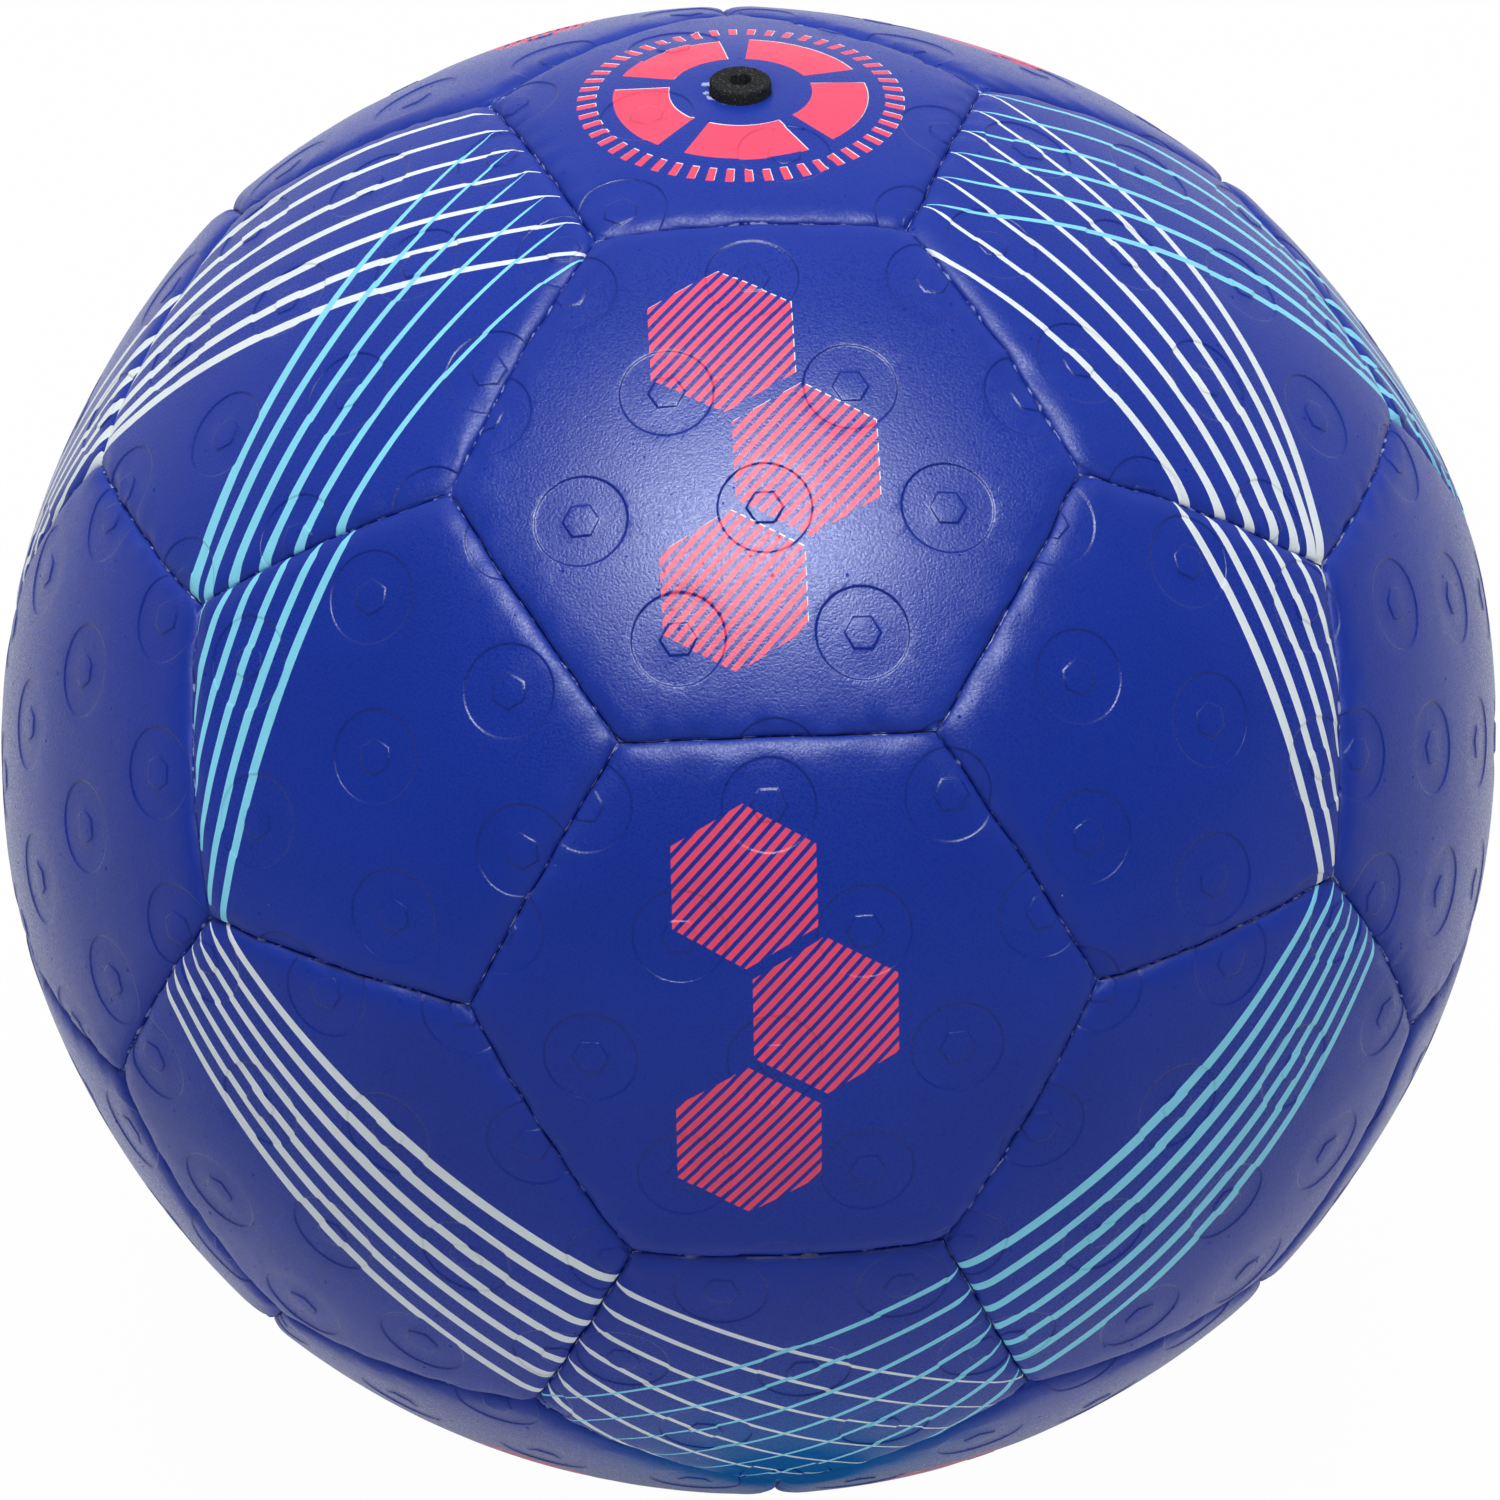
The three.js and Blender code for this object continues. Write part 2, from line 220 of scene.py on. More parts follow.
class Panel:
    """One patch of the ball: its corners, its seam planes and a flat sheet laid on its middle."""

    def __init__(self, name, middle, corners):
        """The corners are directions from the ball's middle, in any order."""
        self.name = name
        self.middle = unit(middle)
        at_pole = abs(self.middle[2]) > POLE
        above = np.array([0.0, self.middle[2], 0.0]) if at_pole else np.array([0.0, 0.0, 1.0])
        self.up = unit(above - self.middle * (above @ self.middle))
        self.right = np.cross(self.up, self.middle)
        turn = [math.atan2(corner @ self.up, corner @ self.right) for corner in corners]
        self.corners = np.array([corners[i] for i in np.argsort(turn)])
        self.planes = unit(np.cross(self.corners, np.roll(self.corners, -1, axis=0)))

    def lay(self, sheet):
        """Directions of points on the flat sheet, which keeps distances from the panel's middle."""
        sheet = np.asarray(sheet, dtype=float)
        angle = np.linalg.norm(sheet, axis=1) / BALL_RADIUS
        reach = np.sinc(angle / math.pi) / BALL_RADIUS
        across = sheet[:, :1] * self.right + sheet[:, 1:] * self.up
        return np.cos(angle)[:, None] * self.middle + reach[:, None] * across

    def sheet(self, directions):
        """Flat-sheet places of directions, the reverse of lay."""
        angle = np.arccos(np.clip(directions @ self.middle, -1, 1))
        reach = BALL_RADIUS / np.sinc(angle / math.pi)
        return np.stack([directions @ self.right, directions @ self.up], axis=1) * reach[:, None]

    def project(self, directions):
        """Directions seen from the ball's middle on a plane, where every seam is a straight line."""
        across = np.stack([directions @ self.right, directions @ self.up], axis=1)
        return BALL_RADIUS * across / (directions @ self.middle)[:, None]

    def unproject(self, points):
        """Directions of points on that plane, the reverse of project."""
        points = np.asarray(points, dtype=float)
        return unit(BALL_RADIUS * self.middle + points[:, :1] * self.right + points[:, 1:] * self.up)

    def trace(self, sheet):
        """Where points of the flat sheet lie on that plane."""
        return self.project(self.lay(sheet))

    def seam_distances(self, directions):
        """Distance from each seam plane, one column for each seam."""
        return BALL_RADIUS * directions @ self.planes.T

    def inside(self, directions):
        """Distance from the nearest seam plane, below zero outside the panel."""
        return self.seam_distances(directions).min(axis=1)

    def ring(self, inset, spacing):
        """Directions along a loop that keeps a distance from the seams."""
        sine = inset / BALL_RADIUS
        before = np.roll(self.planes, 1, axis=0)
        share = sine / (1 + np.sum(before * self.planes, axis=1, keepdims=True))
        lean = (before + self.planes) * share
        ridge = unit(np.cross(before, self.planes))
        tips = lean + ridge * np.sqrt(1 - np.sum(lean * lean, axis=1, keepdims=True))
        loop = []
        for plane, start, end in zip(self.planes, tips, np.roll(tips, -1, axis=0)):
            count = max(2, round(BALL_RADIUS * np.linalg.norm(end - start) / spacing))
            along = start + np.linspace(0, 1, count, endpoint=False)[:, None] * (end - start)
            flat = unit(along - (along @ plane)[:, None] * plane)
            loop.append(flat * math.sqrt(1 - sine * sine) + plane * sine)
        return np.concatenate(loop)


def ball_net():
    """The 32 panels: an icosahedron with a corner on the valve axis, its edges cut in three."""
    fifth = 2 * math.pi / 5
    front = -math.pi / 2
    height = 1 / math.sqrt(5)

    def ring(turn, z):
        angles = [front + (k + turn) * fifth for k in range(5)]
        return [np.array([2 * height * math.cos(a), 2 * height * math.sin(a), z]) for a in angles]

    top = np.array([0.0, 0.0, 1.0])
    upper = ring(0.5, height)
    lower = ring(0.0, -height)

    def third(start, end):
        return unit(start + (end - start) / 3)

    def hexagon(name, *tips):
        corners = [third(a, b) for a in tips for b in tips if a is not b]
        return Panel(name, sum(tips), corners)

    def pentagon(name, tip):
        others = [top, -top, *upper, *lower]
        near = [other for other in others if math.isclose(other @ tip, height)]
        return Panel(name, tip, [third(tip, other) for other in near])

    panels = [pentagon("valve_pentagon", top), pentagon("base_pentagon", -top)]
    for k in range(5):
        after = (k + 1) % 5
        number = k + 1
        panels += [
            hexagon(f"crown_hexagon_{number}", top, upper[k - 1], upper[k]),
            pentagon(f"upper_pentagon_{number}", upper[k]),
            hexagon(f"upper_hexagon_{number}", upper[k - 1], upper[k], lower[k]),
            hexagon(f"lower_hexagon_{number}", upper[k], lower[k], lower[after]),
            pentagon(f"lower_pentagon_{number}", lower[k]),
            hexagon(f"base_hexagon_{number}", -top, lower[k], lower[after]),
        ]
    return panels


# Prints

# A fan of stripes on a panel's flat sheet: the start, bend and end of its first and last stripes, how many
# stripes there are, how their starts and their ends crowd together (above 1 towards the first stripe, below
# 1 towards the last), the widths along the first and last, and how far to the side the stripes set off before
# they bend into line
Fan = namedtuple("Fan", "first last count crowding widths hook", defaults=(0.0,))
INNER_WHITE = Fan(
    ((15.4, 31.8), (3.4, -6.0), (-18.1, -30.5)), ((-20.4, 31.3), (-22.0, 7.2), (-29.3, -12.2)),
    7, (1.0, 1.45), ((0.45, 1.12, 1.5), (0.45, 0.95, 1.2)), 0.9)
INNER_AQUA = Fan(
    ((9.0, 29.8), (-2.8, 1.2), (-15.4, -28.4)), ((-19.7, 29.4), (-22.8, 8.2), (-29.2, -12.6)),
    6, (1.0, 1.2), ((0.3, 1.1, 1.65), (0.3, 0.62, 1.0)))
OUTER_WHITE = Fan(
    ((21.6, 31.3), (1.3, 1.9), (-17.1, -28.1)), ((-13.1, 31.2), (-30.7, 10.9), (-31.4, -10.0)),
    7, (1.0, 1.38), ((0.45, 1.25, 1.45), (0.45, 1.1, 1.4)), -1.2)
OUTER_AQUA = Fan(
    ((15.7, 31.1), (-5.0, 3.3), (-17.5, -28.0)), ((-13.3, 31.0), (-32.0, 9.6), (-28.6, -12.0)),
    6, (1.0, 1.2), ((0.35, 0.9, 1.3), (0.35, 0.8, 1.2)), -2.4)
UPPER_FAN = Fan(
    ((10.2, 23.9), (14.0, 0.0), (15.3, -24.2)), ((28.3, 10.4), (28.6, 5.6), (27.2, 1.0)),
    6, (1.0, 1.0), ((0.95, 1.3, 0.95), (0.9, 0.9, 0.5)))
FAR_WHITE = UPPER_FAN._replace(crowding=(0.78, 1.0), widths=((1.5, 1.15, 0.9), (1.4, 0.9, 0.5)))
FAR_AQUA = UPPER_FAN._replace(crowding=(0.78, 1.0), widths=((1.0, 0.9, 0.8), (1.0, 0.8, 0.5)))
LOWER_FAN = Fan(
    ((-16.6, 32.5), (9.2, 12.9), (34.9, -5.5)), ((-25.9, 21.4), (-3.2, -4.4), (20.6, -28.5)),
    7, (1.0, 1.0), ((0.76, 1.5, 1.25), (0.76, 1.5, 1.25)))
FOOT_FAN = Fan(
    ((-20.4, 19.8), (3.1, 8.2), (25.7, -5.2)), ((-27.7, -4.5), (-17.3, -20.0), (-0.7, -29.2)),
    7, (1.0, 1.0), ((0.86, 0.62, 0.28), (0.86, 0.62, 0.28)))
AS_DRAWN = 1
MIRRORED = -1
# The fans on each panel, with their ink and which way round they are
STRIPED = {
    "crown_hexagon_2": [(INNER_WHITE, "white", AS_DRAWN), (OUTER_AQUA, "aqua", MIRRORED)],
    "crown_hexagon_5": [(OUTER_WHITE, "white", AS_DRAWN), (INNER_AQUA, "aqua", MIRRORED)],
    "upper_pentagon_1": [(UPPER_FAN, "white", AS_DRAWN)],
    "upper_pentagon_2": [(FAR_AQUA, "aqua", MIRRORED)],
    "upper_pentagon_4": [(FAR_WHITE, "white", AS_DRAWN)],
    "upper_pentagon_5": [(UPPER_FAN, "aqua", MIRRORED)],
    "lower_hexagon_5": [(LOWER_FAN, "white", AS_DRAWN)],
    "lower_hexagon_1": [(LOWER_FAN, "aqua", MIRRORED)],
    "lower_hexagon_2": [(LOWER_FAN, "white", AS_DRAWN)],
    "lower_hexagon_4": [(LOWER_FAN, "aqua", MIRRORED)],
    "lower_pentagon_1": [(FOOT_FAN, "white", AS_DRAWN), (FOOT_FAN, "aqua", MIRRORED)],
    "lower_pentagon_3": [(FOOT_FAN, "white", AS_DRAWN)],
    "lower_pentagon_4": [(FOOT_FAN, "aqua", MIRRORED)],
}
# Where the middle of each panel's hatched comb lies
COMBED = {
    "crown_hexagon_1": (0, 0), "crown_hexagon_3": (0, -8), "crown_hexagon_4": (-2, -6),
    "upper_hexagon_1": (0, 0), "upper_hexagon_3": (0, 0), "upper_hexagon_4": (0, 0),
    "base_hexagon_1": (-8, -17), "base_hexagon_3": (0, 0), "base_hexagon_5": (8, -15),
}
# A stripe runs past its end by a tenth of its length, so that the seam cuts it off
STRIPE_REACH = 1.1
STRIPE_POINTS = 45
# The shares of a stripe along which it bends into line and grows to its full width, and how wide its tip is
HOOK_SHARE = 0.2
POINT_SHARE = 0.05
TIP_SHARE = 0.3
# The longest straight stretch of a comb's outline, which has to bend with the ball
STRAIGHT = 3.0
HATCH_TURN = math.radians(47)
# How far the bars reach from the middle of a comb, in cells
HATCH_REACH = 2.7
# How far the white lies off the coral that is printed over it, on the panels where that shows
UNDERPRINT_SHIFT = {"crown_hexagon_1": (0.11, 0.118), "valve_pentagon": (0.1, 0.12)}
ARC_COUNT = 5
ARC_GAP = math.radians(14)
ARC_STEPS = 12
TICK_COUNT = 52


def crosswise(ways):
    """Arrows on the flat sheet, turned a quarter to the left."""
    return np.stack([-ways[..., 1], ways[..., 0]], axis=-1)


def fan_stripes(fan, mirror):
    """Outlines of the stripes of a fan on the flat sheet."""
    first, last, widths = (np.array(values, dtype=float) for values in (fan.first, fan.last, fan.widths))
    along = np.linspace(0, STRIPE_REACH, STRIPE_POINTS)[:, None]
    hooked = np.clip(1 - along / HOOK_SHARE, 0, 1) ** 2 * (fan.hook, 0)
    pointed = np.clip(along / POINT_SHARE, TIP_SHARE, 1)
    at_start, at_end = fan.crowding
    for share in np.linspace(0, 1, fan.count):
        shares = np.array([share ** at_start, share ** at_start, share ** at_end])[:, None]
        start, bend, end = first + (last - first) * shares
        spine = start * (1 - along) ** 2 + bend * 2 * along * (1 - along) + end * along ** 2 + hooked
        aside = crosswise(unit(np.gradient(spine, axis=0)))
        width = widths[0] + (widths[1] - widths[0]) * share
        edge = aside * pointed * np.interp(along, (0, 0.5, 1), width) / 2
        yield np.concatenate([spine + edge, (spine - edge)[::-1]]) * (mirror, 1)


def polygon(radius, sides, turn=0.0, middle=(0.0, 0.0)):
    """Corners of a regular polygon on the flat sheet."""
    angles = turn + np.arange(sides) * 2 * math.pi / sides
    return np.stack([np.cos(angles), np.sin(angles)], axis=1) * radius + middle


def lengthen(outline, spacing):
    """The same closed outline with more points on its straight stretches."""
    loop = []
    for start, end in zip(outline, np.roll(outline, -1, axis=0)):
        count = max(1, round(np.linalg.norm(end - start) / spacing))
        loop.append(start + np.linspace(0, 1, count, endpoint=False)[:, None] * (end - start))
    return np.concatenate(loop)


def sector(inner, outer, start, end, steps):
    """Outline of a piece of a ring on the flat sheet."""
    angles = np.linspace(start, end, steps + 1)
    rays = np.stack([np.cos(angles), np.sin(angles)], axis=1)
    return np.concatenate([rays * outer, rays[::-1] * inner])


def hatched_comb(prints, place):
    """Three hexagons of slanting bars in a zigzag, as areas with labels."""
    cell = prints.comb_cell
    upright = math.pi / 2
    for row in (1, 0, -1):
        middle = np.array([cell * math.sqrt(3) / 4 * (-1) ** row, cell * 1.5 * row]) + place
        hexagon = polygon(cell - prints.comb_gap / math.sqrt(3), 6, upright, middle)
        yield "comb", lengthen(hexagon, STRAIGHT)
    way = np.array([math.cos(HATCH_TURN), math.sin(HATCH_TURN)])
    aside = crosswise(way)
    reach = cell * HATCH_REACH
    bars = int(reach / prints.hatch_pitch)
    edge = aside * prints.hatch_bar / 2
    for k in range(-bars, bars + 1):
        middle = aside * k * prints.hatch_pitch + place
        half = way * math.sqrt(reach ** 2 - (k * prints.hatch_pitch) ** 2)
        corners = [middle - half - edge, middle + half - edge, middle + half + edge, middle - half + edge]
        yield "bar", lengthen(np.array(corners), STRAIGHT)


def valve_print(prints):
    """Arcs and a ring of ticks round the valve, as areas with labels."""
    fifth = 2 * math.pi / ARC_COUNT
    for k in range(ARC_COUNT):
        start = math.pi / 2 + k * fifth + ARC_GAP / 2
        end = start + fifth - ARC_GAP
        yield "coral", sector(prints.arc_inner, prints.arc_outer, start, end, ARC_STEPS)
    half = prints.tick_width / (prints.tick_inner + prints.tick_outer)
    for k in range(TICK_COUNT):
        middle = 2 * math.pi * k / TICK_COUNT
        yield "coral", sector(prints.tick_inner, prints.tick_outer, middle - half, middle + half, 1)


def underprint(areas, panel):
    """The white that is printed before the coral, where it doesn't quite lie under it."""
    if panel.name in UNDERPRINT_SHIFT:
        for label, outline in areas:
            yield "under " + label, outline + UNDERPRINT_SHIFT[panel.name]


def printed_areas(panel, prints):
    """Every printed area of a panel, as a label and an outline on its flat sheet."""
    for fan, ink, mirror in STRIPED.get(panel.name, []):
        for outline in fan_stripes(fan, mirror):
            yield ink, outline
    if panel.name in COMBED:
        comb = list(hatched_comb(prints, COMBED[panel.name]))
        yield from comb
        yield from underprint(comb, panel)
    if panel.name == "valve_pentagon":
        arcs = list(valve_print(prints))
        yield from arcs
        yield from underprint(arcs, panel)


# The materials of a panel's mesh, in the order in which it gets them
LEATHER, WHITE, AQUA, CORAL, LINING = range(5)


def ink_of(labels):
    """Which material a spot has, from the labels of the areas that it lies in."""
    if "aqua" in labels:
        return AQUA
    if "white" in labels:
        return WHITE
    for ink, start in ((CORAL, ""), (WHITE, "under ")):
        if start + "coral" in labels or {start + "bar", start + "comb"} <= labels:
            return ink
    return LEATHER


# Embossing

# How the rows of roundels lie on the panels that show most: turn in degrees, and one roundel's place
ROUNDEL_LAY = {
    "crown_hexagon_1": (0, (-0.5, -5.8)),
    "upper_hexagon_1": (0, (-1.4, -5.0)),
    "upper_pentagon_1": (20, (3.6, -0.7)),
    "upper_pentagon_5": (-15, (1.5, 0.0)),
    "lower_hexagon_5": (62, (-9.6, 10.5)),
    "lower_hexagon_1": (118, (9.6, 10.5)),
    "crown_hexagon_2": (4, (-3.4, 8.4)),
    "crown_hexagon_5": (-3, (-4.8, -0.7)),
}
# Rows and columns of roundels to each side of the first, more than a panel holds
ROUNDEL_ROWS = 5
ROUNDEL_SIDES = 44
BOSS_SPACING = 1.2
# How far a hexagon's sides are from its middle, as a share of its corners' distance
HEXAGON_FLAT = math.cos(math.pi / 6)


def smooth_step(share):
    """Ease from 0 to 1."""
    share = np.clip(share, 0, 1)
    return share * share * (3 - 2 * share)


class Roundels:
    """The pressed roundels of one panel."""

    def __init__(self, panel, sizes, random):
        self.sizes = sizes
        turn = random.uniform(-90, 90)
        place = random.uniform(-0.5, 0.5, 2) * (sizes.pitch, sizes.row)
        turn, place = ROUNDEL_LAY.get(panel.name, (turn, place))
        self.turn = math.radians(turn)
        way = np.array([math.cos(self.turn), math.sin(self.turn)])
        aside = crosswise(way)
        self.middles = []
        for row in range(-ROUNDEL_ROWS, ROUNDEL_ROWS + 1):
            for column in range(-ROUNDEL_ROWS, ROUNDEL_ROWS + 1):
                along = (column + 0.5 * (row % 2)) * sizes.pitch
                middle = np.asarray(place) + way * along + aside * row * sizes.row
                touches = panel.inside(panel.lay([middle]))[0] > -sizes.diameter / 2
                clear = panel.name != "valve_pentagon" or np.linalg.norm(middle) > sizes.diameter
                if touches and clear:
                    self.middles.append(middle)

    def slopes(self, sheet):
        """For each roundel, how far each point is down the slope of its rim and up that of its boss."""
        sizes = self.sizes
        flats = self.turn + np.radians([30, 90, 150])
        across = np.stack([np.cos(flats), np.sin(flats)])
        for middle in self.middles:
            offset = sheet - middle
            rim = sizes.diameter / 2 - np.linalg.norm(offset, axis=1)
            boss = sizes.boss / 2 * HEXAGON_FLAT - np.abs(offset @ across).max(axis=1)
            yield np.clip(rim / sizes.step, 0, 1), np.clip(boss / sizes.step, 0, 1)

    def height(self, sheet):
        """How far the face lies below the unpressed panel, as a negative height."""
        height = np.zeros(len(sheet))
        for rim, boss in self.slopes(sheet):
            height -= self.sizes.depth * (smooth_step(rim) - smooth_step(boss))
        return height

    def groove_shading(self, sheet):
        """How close to the middle of a slope a point lies: one there, nothing off the slopes; it sets the
        painted shade in the roundels' grooves.
        """
        return sum(4 * (rim - rim ** 2 + boss - boss ** 2) for rim, boss in self.slopes(sheet))

    def outlines(self):
        """Loops on the flat sheet where the slope of the pressing starts, is steepest and ends."""
        sizes = self.sizes
        for middle in self.middles:
            for share in (0, 0.5, 1):
                yield polygon(sizes.diameter / 2 - share * sizes.step, ROUNDEL_SIDES, 0, middle)
                corner = sizes.boss / 2 - share * sizes.step / HEXAGON_FLAT
                yield lengthen(polygon(corner, 6, self.turn, middle), BOSS_SPACING)

    def far_from_edge(self, sheet, gap):
        """Which points keep clear of the roundels' sloping edges."""
        clear = np.ones(len(sheet), dtype=bool)
        rim = (self.sizes.diameter - self.sizes.step) / 2
        for middle in self.middles:
            away = np.linalg.norm(sheet - middle, axis=1)
            clear &= (np.abs(away - rim) > gap) & (away > self.sizes.boss / 2 + gap)
        return clear


# The face of a panel

# Where the photographed ball isn't quite round: direction, spread in degrees and height in millimetres
SWELLS = [
    ((0.96, 0.10, 0.25), 13, 1.2),
    ((0.23, 0.49, 0.84), 12, -0.7),
    ((-0.65, 0.41, 0.64), 9, 0.7),
]
# A painted reflection: a teal patch on the ball's underside by the floor, where its sheen is taken away too.
# Direction and spread in degrees; a strength above 1 evens its middle
PAINTED_REFLECTION_PATCH = ((0.015, -0.745, -0.667), 8)
PAINTED_REFLECTION_STRENGTH = 1.25
# Panels whose flatness shows, as a share of the average, and the range of the other panels
FLATNESS = {"crown_hexagon_1": 2.8, "upper_hexagon_1": 1.5, "valve_pentagon": 0.2}
FLATNESS_RANGE = (0.4, 1.6)
# Waves in the leather: the shortest and the longest in millimetres, and how many lie over each other
PUCKERS = (2.6, 6.0, 9)
UNDULATIONS = (18.0, 45.0, 6)
WANDERING = (3.5, 11.0, 8)
# How far from a fold puckers, the seam's wandering and scuffs have faded to about a third, in millimetres
PUCKER_FADE = 1.6
WANDER_FADE = 2.5
SCUFF_FADE = 0.3
# The dip round the valve hole, how far from the hole it fades, and the middle of the scuffs round the hole
VALVE_DIP = 0.2
VALVE_DIP_FADE = 0.4
VALVE_SCUFF = (-0.9, 0.3)
# How far to each side of a spot the face is looked up to find its slope, in millimetres
NUDGE = 0.03


class Waves:
    """A gentle wandering height: waves of random ways with a range of lengths."""

    def __init__(self, random, shortest, longest, count):
        ways = unit(random.normal(size=(count, 3)))
        lengths = random.uniform(shortest, longest, count)
        self.turns = ways * (2 * math.pi / lengths)[:, None]
        self.starts = random.uniform(0, 2 * math.pi, count)

    def height(self, directions):
        """Height at directions, about one at most."""
        phases = BALL_RADIUS * directions @ self.turns.T + self.starts
        return np.sin(phases).mean(axis=1) * math.sqrt(len(self.starts))


def patch(directions, place, spread):
    """How much a spot lies in a soft-edged round patch of the ball: one in its middle."""
    away = np.degrees(np.arccos(np.clip(directions @ unit(np.array(place)), -1, 1)))
    return np.exp(-0.5 * (away / spread) ** 2)


class Face:
    """The outer face of one panel: distance from the ball's middle in every direction."""

    def __init__(self, panel, sizes, emboss, random):
        self.panel = panel
        self.sizes = sizes
        self.roundels = Roundels(panel, emboss, random)
        self.creases = Waves(random, *PUCKERS)
        self.swells = Waves(random, *UNDULATIONS)
        self.middle_distance = panel.inside(panel.middle[None])[0]
        self.sag = sizes.flatness * FLATNESS.get(panel.name, random.uniform(*FLATNESS_RANGE))
        shared = np.random.default_rng(SEED)
        self.wander = [Waves(shared, *WANDERING) for _ in range(3)]

    def radius(self, directions):
        """Distance from the ball's middle, in millimetres."""
        sizes = self.sizes
        softness = sizes.corner_round
        away = self.panel.seam_distances(directions)
        edge = -softness * np.log(np.exp(-away / softness).sum(axis=1))
        reach = sizes.shoulder_reach
        fold = sizes.seam_gap / 2
        bend = np.clip((reach - edge) / (reach - fold), 0, 1)
        sheet = self.panel.sheet(directions)
        outward = np.sum(sheet * sheet, axis=1) / self.middle_distance ** 2
        radius = BALL_RADIUS - self.sag * (1 - outward)
        radius -= sizes.shoulder_drop * (1 - np.sqrt(1 - bend * bend))
        fading = np.exp(-np.maximum(edge - fold, 0) / PUCKER_FADE)
        radius += sizes.pucker * self.creases.height(directions) * fading
        radius += sizes.unevenness * self.swells.height(directions) * smooth_step(edge / reach)
        radius += self.roundels.height(sheet)
        for place, spread, height in SWELLS:
            radius += height * patch(directions, place, spread)
        if self.panel.name == "valve_pentagon":
            beside = np.maximum(np.linalg.norm(sheet, axis=1) - sizes.valve_hole / 2, 0)
            radius -= VALVE_DIP * np.exp(-beside / VALVE_DIP_FADE)
        return radius

    def edge_closeness(self, directions):
        """How close to the panel's fold a spot lies: one at the fold, nearly nothing a millimetre inside."""
        edge = self.panel.inside(directions) - self.sizes.seam_gap / 2
        if self.panel.name == "valve_pentagon":
            sheet = self.panel.sheet(directions)
            edge = np.minimum(edge, np.linalg.norm(sheet - VALVE_SCUFF, axis=1) - self.sizes.valve_hole / 2)
        return np.exp(-np.maximum(edge, 0) / SCUFF_FADE)

    def drift(self, directions):
        """How far a spot beside a seam is pulled along the face; panels that meet move alike."""
        pull = np.stack([wave.height(directions) for wave in self.wander], axis=1)
        pull -= np.sum(pull * directions, axis=1, keepdims=True) * directions
        edge = np.maximum(self.panel.inside(directions), 0)
        return self.sizes.seam_wander * pull * np.exp(-edge / WANDER_FADE)[:, None]

    def points_and_normals(self, directions):
        """Places on the face and the way it looks there."""
        nudge = NUDGE / BALL_RADIUS
        first = unit(self.panel.right - (directions @ self.panel.right)[:, None] * directions)
        second = np.cross(directions, first)

        def place(way):
            moved = unit(directions + way * nudge)
            return moved * self.radius(moved)[:, None] + self.drift(moved)

        slope_one = place(first) - place(-first)
        slope_two = place(second) - place(-second)
        return place(np.zeros(3)), unit(np.cross(slope_one, slope_two))


class Drawing:
    """Points, loops and labelled areas on a plane, cut into triangles that follow them all."""

    def __init__(self):
        self.points = []
        self.edges = []
        self.areas = []
        self.labels = []

    def dots(self, points):
        """Add loose points, and return their numbers."""
        first = len(self.points)
        self.points.extend(map(tuple, points))
        return list(range(first, len(self.points)))

    def loop(self, points):
        """Add a closed line."""
        numbers = self.dots(points)
        self.edges.extend(zip(numbers, numbers[1:] + numbers[:1]))

    def area(self, points, label):
        """Add an outline with a label for what is inside."""
        after = np.roll(points, -1, axis=0)
        turns_left = np.sum(points[:, 0] * after[:, 1] - points[:, 1] * after[:, 0]) > 0
        self.areas.append(self.dots(points if turns_left else points[::-1]))
        self.labels.append(label)

    def triangles(self):
        """Points, triangles, labels of each triangle and, for each point, the drawn points it came from."""
        convex, tolerance = 0, 1e-4
        points, _, faces, sources, _, owners = delaunay_2d_cdt(
            self.points, self.edges, self.areas, convex, tolerance, True)
        labels = [{self.labels[area] for area in found} for found in owners]
        return np.array([tuple(point) for point in points]), faces, labels, sources


def triangle_grid(reach, spacing):
    """Points of an even triangular grid on a sheet."""
    row_height = math.sqrt(0.75)
    rows = int(reach / (spacing * row_height)) + 1
    columns = int(reach / spacing) + 1
    return np.array([
        ((column + 0.5 * (row % 2)) * spacing, row * spacing * row_height)
        for row in range(-rows, rows + 1) for column in range(-columns, columns + 1)])


# Where the rounded edge has loops of points, in degrees of its bend from the fold inwards, and their spacing
SHOULDER_BENDS = (90, 84, 76, 66, 54, 42, 28, 12)
SHOULDER_SPACING = 1.0
# How far from the valve hole loops of points lie, and how far the grid keeps from it
HOLE_LOOPS = (0.2, 0.5, 1.0, 2.0)
HOLE_SIDES = 48
HOLE_CLEARANCE = 2.5
# The grids of points on the face and the lining: their reach, their spacing and what they keep clear of
GRID_REACH = 45.0
FACE_SPACING = 2.6
EMBOSS_CLEARANCE = 0.9
LINING_SPACING = 9.0
LINING_INSET = 4.0
LINING_HOLE = 8.0


def draw_panel(panel, face, sizes, prints):
    """The drawing of a panel's outer face: its edge, its print and its pressing."""
    drawing = Drawing()
    shoulder = sizes.shoulder_reach - sizes.seam_gap / 2
    insets = [sizes.shoulder_reach - shoulder * math.sin(math.radians(bend)) for bend in SHOULDER_BENDS]
    fold, *bends = [panel.project(panel.ring(inset, SHOULDER_SPACING)) for inset in insets]
    drawing.area(fold, "panel")
    for loop in bends:
        drawing.loop(loop)
    hole = sizes.valve_hole / 2
    if panel.name == "valve_pentagon":
        drawing.area(panel.trace(polygon(hole, HOLE_SIDES)), "hole")
        for beside in HOLE_LOOPS:
            drawing.loop(panel.trace(polygon(hole + beside, HOLE_SIDES)))
    for label, outline in printed_areas(panel, prints):
        drawing.area(panel.trace(outline), label)
    for outline in face.roundels.outlines():
        drawing.loop(panel.trace(outline))
    grid = triangle_grid(GRID_REACH, FACE_SPACING)
    kept = panel.inside(panel.lay(grid)) > sizes.shoulder_reach
    kept &= face.roundels.far_from_edge(grid, EMBOSS_CLEARANCE)
    if panel.name == "valve_pentagon":
        kept &= np.linalg.norm(grid, axis=1) > hole + HOLE_CLEARANCE
    drawing.dots(panel.trace(grid[kept]))
    return drawing


